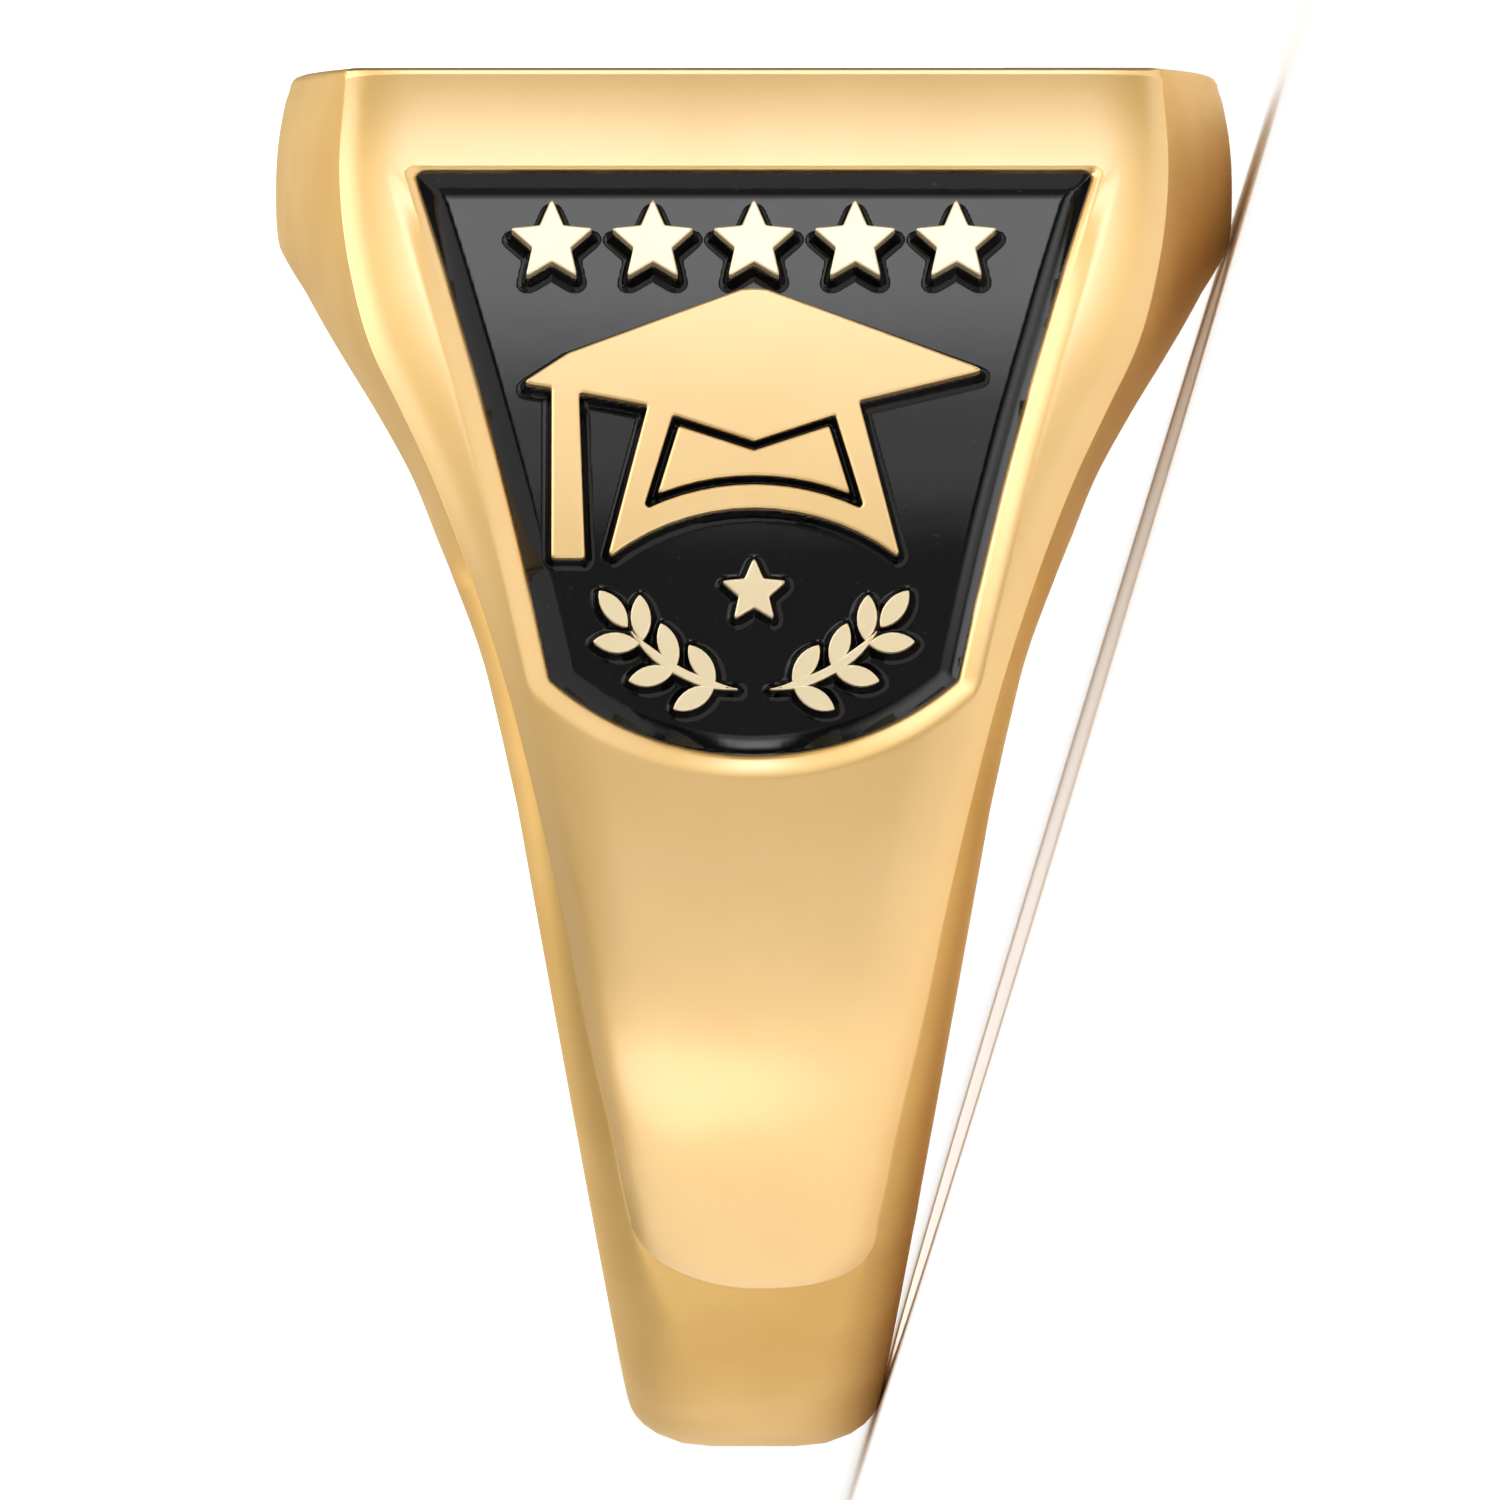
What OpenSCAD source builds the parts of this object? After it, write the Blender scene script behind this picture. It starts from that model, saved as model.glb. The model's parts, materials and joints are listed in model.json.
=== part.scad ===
// A cast class ring, lying on its side as it rests on a table.
// The ring is drawn in its own frame: +X runs from the finger hole to the flat table of the head, the two
// shoulders with their enamelled panels face -Y and +Y, and the finger hole runs along Z.
// Last of all, at_rest() leans the whole ring over until the head's wall and the shank's edge both touch down.

/* [Finger hole] */
// Diameter of the finger hole
finger_d = 19.8; // [15:0.1:23]

/* [Shank] */
// Thickness of the metal at the palm side
heel_t = 1.7; // [1.2:0.1:2.6]
// Width of the shank at the palm side, where its edges would meet if they were sharp
heel_w = 4.24; // [3:0.1:7]
// Thickness of the metal at the sides of the finger, where the polished faces begin to rise
waist_t = 1.8; // [1.4:0.1:3]
// Width of the shank at the sides of the finger
waist_w = 8.4; // [6:0.1:12]
// How deep the rounding of the shank's edges reaches
edge_depth = 0.85; // [0.4:0.05:1.2]
// Height by which the casting stands proud of the polished faces before they are cut
face_cut = 0.12; // [0.05:0.01:0.3]
// Where the polished faces run out towards the palm, as an angle from the middle of the palm side
face_end_angle = 42; // [30:1:60]

/* [Head] */
// Height of the flat table above the middle of the finger hole
table_h = 13.15; // [12.5:0.05:16]
// Greatest width of the head, along the finger
head_w = 17.32; // [13:0.1:20]
// Radius of the shoulder faces, which lean in from the shank to the table
shoulder_r = 22; // [19:0.5:40]

/* [Panels] */
// Height of each panel's upper edge above the middle of the finger hole
panel_top = 11.33; // [11.1:0.01:11.9]
// Height of each panel's lower corners
panel_corner = 2.27; // [2:0.01:2.6]
// Drop of the curved lower edge below those corners
panel_drop = 1.33; // [1:0.01:1.8]
// Width of the panel along its upper edge
panel_top_w = 12.04; // [11:0.01:12.6]
// Width of the panel between its lower corners
panel_low_w = 7.18; // [7:0.01:7.6]
// How far the panel's sides bow in
panel_bow = 0.13; // [0:0.01:0.3]
// Depth of the sunk field below the shoulder face
field_depth = 0.7; // [0.5:0.05:1]
// Depth of the enamel's surface below the shoulder face
enamel_sink = 0.42; // [0.1:0.02:0.45]
// Gap round the enamel
enamel_gap = 0.03; // [0.02:0.01:0.06]

/* [Raised figures] */
// Width of the mortarboard's flat board, from tip to tip
board_w = 8.26; // [7:0.01:8.4]
// Height of the board's lowest point above the middle of the finger hole
board_low = 6.74; // [6.6:0.01:6.8]
// Height of the board, from its lowest point to its peak
board_h = 2.46; // [2.2:0.01:2.5]
// Height of the crown's lower tips above the middle of the finger hole
crown_low = 4.44; // [4.4:0.01:4.6]
// Width of the line that is cut round inside the crown
crown_line = 0.16; // [0.12:0.01:0.24]
// Length of the tassel
tassel_len = 3.24; // [2:0.01:3.3]
// Width of the tassel at its foot
tassel_w = 0.6; // [0.4:0.02:0.7]
// Gap between the tassel's foot and the crown of the mortarboard
tassel_gap = 0.42; // [0.3:0.01:0.6]
// Number of stars in the row above the mortarboard
star_count = 5; // [3:2:5]
// Radius of a star, to its points
star_r = 0.79; // [0.5:0.01:0.82]
// Distance between neighbouring stars
star_pitch = 1.8; // [1.7:0.02:1.86]
// Height of the row of stars above the middle of the finger hole
star_h = 10.03; // [10:0.01:10.2]
// Radius of the star between the laurel branches
low_star_r = 0.62; // [0.4:0.02:0.7]
// Height of the star between the laurel branches
low_star_h = 3.8; // [3.6:0.05:3.9]
// Number of leaf pairs on each laurel branch
leaf_pairs = 3; // [2:1:3]
// Length of a laurel leaf
leaf_len = 0.88; // [0.7:0.02:0.92]
// Greatest width of a laurel leaf
leaf_w = 0.36; // [0.26:0.02:0.38]
// Angle of each leaf from the stem
leaf_lean = 42; // [36:1:46]
// Width of the laurel's stem
stem_w = 0.16; // [0.12:0.01:0.2]
// Radius of the laurel branches' curve
branch_r = 2.8; // [2.7:0.05:3]
// Height of the laurel's foot above the middle of the finger hole
laurel_low = 2.05; // [1.9:0.05:2.1]

/* [Hidden] */

GOLD = "goldenrod";
ENAMEL = "black";
EXTRA = 1; // how far cutting shapes reach past what they cut
FINE = 96; // sides that stand for a true circle
STEP_TURN = 3; // half the angle over which the casting steps up where the polished faces end

finger_r = finger_d / 2;
heel_r = finger_r + heel_t;
face_r = finger_r + waist_t;
crest_r = face_r + face_cut;
shoulder_y = shoulder_r - face_r; // each shoulder's arc is centred this far past the finger hole's middle
shoulder_top = asin(table_h / shoulder_r);

// The flare of the head, seen along the shoulders: columns are height as a share of table_h, and how much of
// the way the width has grown from waist_w to head_w.
FLARE = [
    [0, 0], [0.117, 0.078], [0.2, 0.14], [0.28, 0.225], [0.365, 0.33], [0.447, 0.45], [0.53, 0.603],
    [0.612, 0.765], [0.653, 0.84], [0.694, 0.906], [0.735, 0.96], [0.776, 0.99], [0.839, 1], [0.9, 0.993],
    [0.942, 0.975], [0.98, 0.945], [0.995, 0.92], [1, 0.88],
];
// How far the edge draws in by the time it meets the polished face, as a share of the half width there:
// columns are height as a share of heel_r at the palm side and of table_h at the head, and the share.
EDGE_IN = [
    [-1, 0.62], [-0.8, 0.62], [-0.68, 0.6], [-0.64, 0.5], [-0.59, 0.46], [-0.5, 0.41], [-0.33, 0.28],
    [-0.15, 0.23], [0, 0.18], [0.075, 0.14], [0.17, 0.113], [0.29, 0.1], [0.42, 0.085], [0.54, 0.107],
    [0.62, 0.122], [0.72, 0.151], [0.86, 0.147], [1, 0.112],
];
// Where along the way from the outer face to the finger hole the wall of each section is measured.
WALL_STEPS = [0, 0.05, 0.12, 0.2, 0.32, 0.5, 0.7, 0.85, 1];
HEEL_STATIONS = 16;
SHOULDER_STATIONS = 15;
TABLE_STATIONS = 5;

function mix(a, b, t) = a + (b - a) * t;
function flip_y(points) = [for (p = points) [p.x, -p.y]];
function height_share(x) = x < 0 ? x / heel_r : x / table_h;

// Half the ring's width at height x, before its edges draw in.
function half_width(x) = x < 0
    ? mix(waist_w, heel_w, -x / heel_r) / 2
    : mix(waist_w, head_w, lookup(x / table_h, FLARE)) / 2;

// Distance of the shoulder face from the XZ plane at height x.
function shoulder_at(x) = sqrt(shoulder_r ^ 2 - min(x, table_h) ^ 2) - shoulder_y;

// Radius of the casting's outer face on the shank: it steps up where the polished faces end.
function crest_at(turn) = lookup(turn, [
    [face_end_angle - STEP_TURN, heel_r],
    [face_end_angle + STEP_TURN, crest_r],
]);

// How far a point lies inside the casting's outer face, and how deep the drawing in reaches there: on the head
// it is a long barrel curve to the middle of the wall, and on the shank a rounded edge.
function depth_in(x, y) = x < 0
    ? crest_at(atan2(abs(y), -x)) - norm([x, y])
    : shoulder_at(x) - abs(y);
function reach_in(x) = mix(edge_depth, shoulder_at(x), lookup(x / table_h, [[0.3, 0], [0.7, 1]]));

// Half the width at a point of the wall, where the casting's edges have drawn in.
function wall_z(x, y) = let (
    out = 1 - min(max(depth_in(x, y) / reach_in(x), 0), 1),
    round_in = 1 - sqrt(1 - out ^ 2),
    barrel_in = out ^ 2,
    drawn = mix(round_in, barrel_in, lookup(x / table_h, [[0, 0], [0.4, 1]]))
) half_width(x) * (1 - lookup(height_share(x), EDGE_IN) * drawn);

// Points of the casting's outer face from the palm side to the middle of the table, as [x, y].
half_round = concat(
    [for (i = [0 : HEEL_STATIONS - 1])
        let (turn = 90 * i / HEEL_STATIONS)
        crest_at(turn) * [-cos(turn), sin(turn)]],
    [for (i = [0 : SHOULDER_STATIONS])
        let (turn = shoulder_top * (i + 0.5) / (SHOULDER_STATIONS + 0.5))
        [(shoulder_r + face_cut) * sin(turn), (shoulder_r + face_cut) * cos(turn) - shoulder_y]],
    [for (i = [1 : TABLE_STATIONS])
        [table_h + face_cut, shoulder_at(table_h) * (1 - i / TABLE_STATIONS)]]
);
half_count = len(half_round);
stations = concat(half_round, flip_y([for (i = [half_count - 2 : -1 : 1]) half_round[i]]));

// One section of the casting: down one wall from the outer face to inside the finger hole, and up the other.
function section(outer) = let (
    inner = outer / norm(outer) * (finger_r - heel_t / 2),
    wall = [for (t = WALL_STEPS) let (p = mix(outer, inner, t)) [p.x, p.y, wall_z(p.x, p.y)]],
    last = len(wall) - 1
) concat(wall, [for (i = [last : -1 : 0]) [wall[i].x, wall[i].y, -wall[i].z]]);

// The angle at which the ring comes to rest: the one line that touches the shank's edge and the head's wall.
heel_wall = section(stations[0]);
head_wall = section(stations[half_count - 1]);
rest_tilt = min([for (a = heel_wall) max([for (b = head_wall) atan2(b.z - a.z, b.x - a.x)])]);

// Points of an arc from a to b that bulges to the left of its way by rise, without its last point.
function arc_points(a, b, rise, steps) = let (
    chord = norm(b - a),
    along = (b - a) / chord,
    across = [-along.y, along.x],
    bend = (chord ^ 2 / 4 + rise ^ 2) / (2 * rise),
    half_turn = asin(chord / 2 / bend),
    centre = (a + b) / 2 + across * (rise - bend)
) [for (i = [0 : steps - 1])
    let (turn = half_turn * (2 * i / steps - 1))
    centre + bend * (along * sin(turn) + across * cos(turn))];

// Flat figures are drawn as they look from outside the panel: first coordinate to the right, second up.
module panel_outline() {
    polygon(concat(
        arc_points([-panel_low_w / 2, panel_corner], [-panel_top_w / 2, panel_top], -max(panel_bow, 0.001), 6),
        [[-panel_top_w / 2, panel_top]],
        arc_points([panel_top_w / 2, panel_top], [panel_low_w / 2, panel_corner], -max(panel_bow, 0.001), 6),
        arc_points([panel_low_w / 2, panel_corner], [-panel_low_w / 2, panel_corner], panel_drop, 16)
    ));
}

// The board is a flat diamond seen from below its front corner, and its left tip droops towards the tassel.
BOARD = [ // columns are shares of board_w and board_h
    [0, 0], [0.5, 0.405], [0.028, 0.992], [0, 1], [-0.028, 0.992], [-0.4, 0.53], [-0.5, 0.31], [-0.38, 0.25],
];
module board_outline() {
    polygon([for (p = BOARD) [p.x * board_w, board_low + p.y * board_h]]);
}

tassel_left = -board_w * 0.435; // the tassel hangs near the board's left tip
crown_w = 2 * (-tassel_left - tassel_w - tassel_gap); // between the crown's lower tips
crown_top = board_low + board_h * 0.2; // the crown's sides start behind the board
crown_rise = crown_w * 0.164;

module crown_outline() {
    polygon(concat(
        [[crown_w * 0.36, crown_top], [crown_w / 2, crown_low + crown_w * 0.01]],
        arc_points([crown_w * 0.49, crown_low], [-crown_w * 0.49, crown_low], -crown_rise, 12),
        [[-crown_w / 2, crown_low + crown_w * 0.01], [-crown_w * 0.36, crown_top]]
    ));
}

// The face that the cut line runs round: at its top it is notched by the board's corner.
module crown_face() {
    notch = board_low - board_h * 0.11;
    foot = crown_low + crown_rise;
    polygon(concat(
        [[0, notch], [crown_w * 0.28, notch + board_h * 0.19], [crown_w * 0.375, foot + crown_w * 0.015]],
        arc_points([crown_w * 0.365, foot], [-crown_w * 0.365, foot], -crown_rise / 2, 10),
        [[-crown_w * 0.375, foot + crown_w * 0.015], [-crown_w * 0.28, notch + board_h * 0.19]]
    ));
}

module crown_line_outline() {
    difference() {
        crown_face();
        offset(delta = -crown_line)
            crown_face();
    }
}

module tassel_outline() {
    top_h = board_low + board_h * 0.36;
    polygon([
        [tassel_left, top_h],
        [tassel_left + tassel_w * 0.8, top_h],
        [tassel_left + tassel_w, top_h - tassel_len],
        [tassel_left, top_h - tassel_len],
    ]);
}

module star(radius) {
    inner = radius * 0.46;
    polygon([for (i = [0 : 9])
        let (r = i % 2 == 0 ? radius : inner)
        r * [sin(36 * i), cos(36 * i)]]);
}

module stars() {
    for (i = [0 : star_count - 1])
        translate([(i - (star_count - 1) / 2) * star_pitch, star_h])
            star(star_r);
    translate([0, low_star_h])
        star(low_star_r);
}

module leaf() {
    base = [stem_w * 0.3, 0];
    tip = [leaf_len, 0];
    polygon(concat(arc_points(base, tip, leaf_w / 2, 5), arc_points(tip, base, leaf_w / 2, 5)));
}

// One branch of the laurel curves up and out from its foot: a stem, leaves in pairs and one at the tip.
module branch() {
    foot_angle = 5;
    tip_angle = 52;
    step = (tip_angle - foot_angle) / leaf_pairs;
    translate([0, laurel_low + branch_r]) {
        rotate(foot_angle - 90)
            stem(tip_angle - foot_angle);
        for (i = [0 : leaf_pairs - 1], side = [-1, 1])
            rotate(foot_angle + step * (i + 0.55))
                translate([0, -branch_r])
                    rotate(side * leaf_lean)
                        leaf();
        rotate(tip_angle)
            translate([0, -branch_r])
                leaf();
    }
}

// An arc of stem from the first axis round to turn, tapered to a point at both ends.
module stem(turn) {
    steps = 8;
    polygon([for (i = [0 : 2 * steps - 1])
        let (
            along = i <= steps ? i / steps : 2 - i / steps,
            half = stem_w * min(1, 4 * along, 4 * (1 - along)) / 2,
            r = branch_r + (i <= steps ? half : -half)
        )
        r * [cos(turn * along), sin(turn * along)]]);
}

module laurel() {
    branch();
    mirror([1, 0])
        branch();
}

// Everything that stands up in the field to the height of the shoulder face.
module figures_outline() {
    difference() {
        union() {
            board_outline();
            crown_outline();
            tassel_outline();
        }
        crown_line_outline();
    }
    stars();
    laurel();
}

// Stands a flat figure up on the near shoulder, as a prism from the middle of the ring outwards.
module on_near_shoulder() {
    rotate([90, 90, 0])
        linear_extrude(height = face_r + EXTRA)
            children();
}

module to_far_shoulder() {
    rotate([180, 0, 0])
        children();
}

// The space inside the near shoulder face, drawn in by depth.
module inside_near_face(depth) {
    translate([0, shoulder_y, 0])
        cylinder(r = shoulder_r - depth, h = head_w + 2 * EXTRA, center = true, $fn = FINE);
}

// The sunk field of the near panel, with its figures left standing.
module field() {
    difference() {
        on_near_shoulder()
            difference() {
                panel_outline();
                figures_outline();
            }
        inside_near_face(field_depth);
    }
}

module casting() {
    per = 2 * len(WALL_STEPS);
    count = len(stations);
    points = [for (s = stations) each section(s)];
    faces = [for (i = [0 : count - 1], k = [0 : per - 1])
        let (a = i * per, b = (i + 1) % count * per, n = (k + 1) % per)
        each [[a + k, b + k, b + n], [a + k, b + n, a + n]]];
    polyhedron(points = points, faces = faces);
}

// What the polished faces leave of the casting: round at the shank, leaning shoulders and a flat table.
module polished_faces() {
    tall = head_w + 2 * EXTRA;
    difference() {
        cylinder(r = face_r, h = tall, center = true, $fn = FINE);
        translate([0, -2 * face_r, -tall])
            cube([2 * face_r, 4 * face_r, 2 * tall]);
    }
    intersection() {
        inside_near_face(0);
        to_far_shoulder()
            inside_near_face(0);
        translate([0, -2 * face_r, -tall])
            cube([table_h, 4 * face_r, 2 * tall]);
    }
}

module ring() {
    difference() {
        intersection() {
            casting();
            polished_faces();
        }
        cylinder(r = finger_r, h = head_w + 2 * EXTRA, center = true, $fn = FINE);
        field();
        to_far_shoulder()
            field();
    }
}

// Enamel fills the foot of the field up to enamel_sink below the face.
module enamel_fill() {
    difference() {
        intersection() {
            on_near_shoulder()
                offset(delta = -enamel_gap)
                    children();
            inside_near_face(enamel_sink);
        }
        inside_near_face(field_depth - enamel_gap);
    }
}

module enamel() {
    enamel_fill()
        difference() {
            panel_outline();
            figures_outline();
            crown_face();
        }
}

module enamel_crown_line() {
    enamel_fill()
        crown_line_outline();
}

module at_rest() {
    rotate([0, -rest_tilt, 0])
        children();
}

module ring_body() { color(GOLD) at_rest() ring(); }
module enamel_near() { color(ENAMEL) at_rest() enamel(); }
module enamel_near_crown_line() { color(ENAMEL) at_rest() enamel_crown_line(); }
module enamel_far() { color(ENAMEL) at_rest() to_far_shoulder() enamel(); }
module enamel_far_crown_line() { color(ENAMEL) at_rest() to_far_shoulder() enamel_crown_line(); }

ring_body();
enamel_near();
enamel_near_crown_line();
enamel_far();
enamel_far_crown_line();
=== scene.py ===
# %% [markdown]
# # A class ring in gold plate and black enamel
#
# The ring is one casting: a thin shank that widens into a heavy head with a flat table. Each shoulder
# has a sunk panel where a mortarboard, stars and laurel stand up out of black enamel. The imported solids
# give its place and size. This lesson rebuilds the casting as one smooth mesh, so that its polished
# faces catch the light as metal does, and gives every surface the finish of the real thing.

# %% Load the frame
import json
import math

import bmesh
import bpy
import numpy as np
from mathutils import Matrix, Vector

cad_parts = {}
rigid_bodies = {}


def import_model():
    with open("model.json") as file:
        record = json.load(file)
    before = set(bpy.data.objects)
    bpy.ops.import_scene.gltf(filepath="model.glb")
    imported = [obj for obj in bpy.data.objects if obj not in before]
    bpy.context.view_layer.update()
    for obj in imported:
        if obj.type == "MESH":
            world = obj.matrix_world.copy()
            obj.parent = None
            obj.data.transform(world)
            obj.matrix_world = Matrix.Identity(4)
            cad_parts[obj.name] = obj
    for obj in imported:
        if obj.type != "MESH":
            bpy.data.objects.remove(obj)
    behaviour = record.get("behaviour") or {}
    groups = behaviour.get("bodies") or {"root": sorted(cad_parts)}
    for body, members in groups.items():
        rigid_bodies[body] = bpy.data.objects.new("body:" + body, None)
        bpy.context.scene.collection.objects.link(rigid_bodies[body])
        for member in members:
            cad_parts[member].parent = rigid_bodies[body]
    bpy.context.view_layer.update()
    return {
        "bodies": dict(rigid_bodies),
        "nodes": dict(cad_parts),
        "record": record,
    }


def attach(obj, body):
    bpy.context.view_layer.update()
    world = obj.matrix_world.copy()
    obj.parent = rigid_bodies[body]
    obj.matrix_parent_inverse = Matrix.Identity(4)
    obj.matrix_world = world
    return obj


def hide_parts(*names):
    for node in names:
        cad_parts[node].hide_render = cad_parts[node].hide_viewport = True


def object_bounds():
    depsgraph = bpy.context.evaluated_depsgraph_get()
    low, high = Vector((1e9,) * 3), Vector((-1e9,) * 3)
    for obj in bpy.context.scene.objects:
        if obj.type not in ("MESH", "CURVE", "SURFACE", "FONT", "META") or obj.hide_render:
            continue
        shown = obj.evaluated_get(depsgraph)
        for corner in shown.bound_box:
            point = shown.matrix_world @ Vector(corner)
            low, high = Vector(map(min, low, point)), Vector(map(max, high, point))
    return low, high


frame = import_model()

MM = 0.001
ROOT = list(frame["bodies"])[0]
print("nodes:", ", ".join(sorted(frame["nodes"])))

# %% [markdown]
# ## The ring's own frame
#
# It is easiest to draw the ring standing up, in millimetres: x runs from the finger hole to the table,
# the two shoulders face -y and +y, and the finger hole runs along z. The ring really lies on its side
# and leans a little, because its head is wider than its shank. The finger hole's axis in the record says
# how far.
#
# A smooth mesh swells past the flat facets of the solids by a few hundredths of a millimetre. FIT
# squeezes it by as much, so that it stays inside their box.

# %% The lean, and the sizes that the solids were made with
finger_hole = frame["record"]["mounts"][0]
LEAN = math.atan2(-finger_hole["axis"][0], finger_hole["axis"][2])
FINGER_R = finger_hole["dims"]["r_mm"]
# The heel is the palm side. Widths are across the whole band, and heights are from the hole's middle.
HEEL_THICK, FACE_THICK = 1.7, 1.8
HEEL_R = FINGER_R + HEEL_THICK
FACE_R = FINGER_R + FACE_THICK
SHOULDER_R = 22.0
SHOULDER_Y = SHOULDER_R - FACE_R
TABLE_H = 13.15
WAIST_W = 8.4
HEEL_W = 4.24
HEAD_W = 17.32
EDGE_DEPTH = 0.85
FIT = (0.9997, 1, 0.9977, 1)
TO_REST = Matrix.Rotation(-LEAN, 4, "Y") @ Matrix.Scale(MM, 4) @ Matrix.Diagonal(FIT)
print(f"the ring leans {math.degrees(LEAN):.2f} degrees")


# %% [markdown]
# ## Smooth curves from a few measured rows
#
# The outline of the head and the edge of the polished face are free curves, filed by eye. A handful of
# heights and widths says where they run, and a cubic through them makes them smooth, because a polished
# edge shows every kink.

# %% A smooth curve through the rows of a table
def curve_through(rows):
    xs, ys = np.array(rows, float).T
    slopes = np.gradient(ys, xs)

    def at(x):
        x = np.clip(x, xs[0], xs[-1])
        i = np.clip(np.searchsorted(xs, x) - 1, 0, len(xs) - 2)
        gap = xs[i + 1] - xs[i]
        t = (x - xs[i]) / gap
        start = (1 + 2 * t) * (1 - t) ** 2 * ys[i] + t * (1 - t) ** 2 * gap * slopes[i]
        end = t * t * (3 - 2 * t) * ys[i + 1] + t * t * (t - 1) * gap * slopes[i + 1]
        return start + end

    return at


# Columns are height as a share of TABLE_H, and how much of the way the width has grown to HEAD_W.
flare = curve_through([
    (0, 0), (0.117, 0.078), (0.2, 0.14), (0.28, 0.225), (0.365, 0.33), (0.447, 0.45), (0.53, 0.603),
    (0.612, 0.765), (0.653, 0.84), (0.694, 0.906), (0.735, 0.96), (0.776, 0.99), (0.839, 1), (0.9, 0.993),
    (0.942, 0.975), (0.98, 0.945), (0.995, 0.92), (1, 0.88),
])
# Columns are height and half the width of the polished face there, in millimetres.
FACE_LOW = -7.43
crease = curve_through([
    (-11.6, 0.8), (-9.4, 1.5), (FACE_LOW, 2.2), (-5.85, 2.53), (-3.82, 3.0), (-1.64, 3.45), (0, 3.83),
    (2.26, 4.42), (4.37, 5.12), (5.96, 5.75), (7.06, 6.27), (8.17, 6.8), (9.5, 7.17), (11.2, 7.38),
    (13.15, 7.28),
])


def half_width(x):
    shank = (WAIST_W + (HEEL_W - WAIST_W) * np.minimum(-x, HEEL_R) / HEEL_R) / 2
    head = (WAIST_W + (HEAD_W - WAIST_W) * flare(x / TABLE_H)) / 2
    return np.where(x < 0, shank, head)


print("half width at the waist, middle and table:", half_width(np.array([0, 6.5, TABLE_H])).round(2))


# %% [markdown]
# ## The flat pattern of a shoulder
#
# A shoulder bends one way only, like paper round a tin, so its face, its panel and its figures can be
# drawn flat and then wrapped on. In the flat pattern v runs to the right, s up along the curve, and h
# out of the metal. Above the waist the face has the shoulder's radius, and below it the shank's.

# %% From heights to the flat pattern, and from the pattern onto the shoulder
def along(w):
    w = np.asarray(w, float)
    upper = SHOULDER_R * np.arcsin(np.clip(w / SHOULDER_R, -1, 1))
    lower = FACE_R * np.arcsin(np.clip(w / FACE_R, -1, 1))
    return np.where(w >= 0, upper, lower)


def wrap(flat):
    v, s, h = np.asarray(flat, float).T
    radius = np.where(s >= 0, SHOULDER_R, FACE_R)
    centre = np.where(s >= 0, SHOULDER_Y, 0)
    turn = s / radius
    return np.c_[(radius + h) * np.sin(turn), centre - (radius + h) * np.cos(turn), -v]


def wrap_mesh(bm):
    places = wrap([v.co for v in bm.verts])
    for vert, place in zip(bm.verts, places):
        vert.co = place


# %% Small tools for outlines
# Half a corner's angle past which it stays as it is, the most of a side that an arc may take, and the least
# share that a mitre is divided by.
NEARLY_STRAIGHT = math.radians(80)
MOST_OF_SIDE = 0.45
LEAST_SHARE = 0.25


def arc(a, b, rise, steps):
    """Points of an arc from a to b that bulges to the left of its way by rise, without its last point."""
    a, b = np.array(a, float), np.array(b, float)
    chord = np.linalg.norm(b - a)
    way = (b - a) / chord
    across = np.array([-way[1], way[0]])
    bend = (chord ** 2 / 4 + rise ** 2) / (2 * rise)
    turns = math.asin(chord / 2 / bend) * (2 * np.arange(steps) / steps - 1)
    swing = np.outer(np.sin(turns), way) + np.outer(np.cos(turns), across)
    return (a + b) / 2 + across * (rise - bend) + bend * swing


def rounded(points, radius, steps=4):
    """A closed outline with each corner turned into a small arc, or less where its sides are short."""
    points = np.array(points, float)
    made = []
    for before, here, after in zip(np.roll(points, 1, 0), points, np.roll(points, -1, 0)):
        a, b = before - here, after - here
        la, lb = np.linalg.norm(a), np.linalg.norm(b)
        a, b = a / la, b / lb
        half = math.acos(np.clip(a @ b, -1, 1)) / 2
        if half > NEARLY_STRAIGHT:
            made.append(here)
            continue
        cut = min(radius / math.tan(half), MOST_OF_SIDE * la, MOST_OF_SIDE * lb)
        for t in np.linspace(0, 1, steps):
            p, q = here + a * cut * (1 - t), here + b * cut * t
            made.append(p * (1 - t) + q * t)
    return np.array(made)


def offset(points, distance):
    """A counter-clockwise outline moved outwards. Its mitres are kept short at sharp corners."""
    way = np.roll(points, -1, 0) - points
    way /= np.linalg.norm(way, axis=1)[:, None]
    out = np.c_[way[:, 1], -way[:, 0]]
    before = np.roll(out, 1, 0)
    share = np.maximum(1 + (out * before).sum(1), LEAST_SHARE)
    return points + distance * (out + before) / share[:, None]


def resample(points, shares):
    """Points at the given shares of the length of an open line."""
    lengths = np.r_[0, np.cumsum(np.linalg.norm(np.diff(points, axis=0), axis=1))]
    at = np.asarray(shares) * lengths[-1]
    return np.c_[np.interp(at, lengths, points[:, 0]), np.interp(at, lengths, points[:, 1])]


def gap_to(points, line, closed=True):
    """Distance from each point to the nearest stretch of a line."""
    a = line
    b = np.roll(line, -1, 0)
    if not closed:
        a, b = line[:-1], line[1:]
    best = np.full(len(points), 1e9)
    for p, q in zip(a, b):
        side = q - p
        t = np.clip(((points - p) @ side) / max(side @ side, 1e-12), 0, 1)
        best = np.minimum(best, np.linalg.norm(points - p - t[:, None] * side, axis=1))
    return best


def inside(points, line):
    """True for each point within a closed outline."""
    x, y = points.T
    found = np.zeros(len(points), bool)
    for (ax, ay), (bx, by) in zip(line, np.roll(line, -1, 0)):
        if ay == by:
            continue
        crossing = (ay > y) != (by > y)
        found ^= crossing & (x < ax + (y - ay) * (bx - ax) / (by - ay))
    return found


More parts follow.
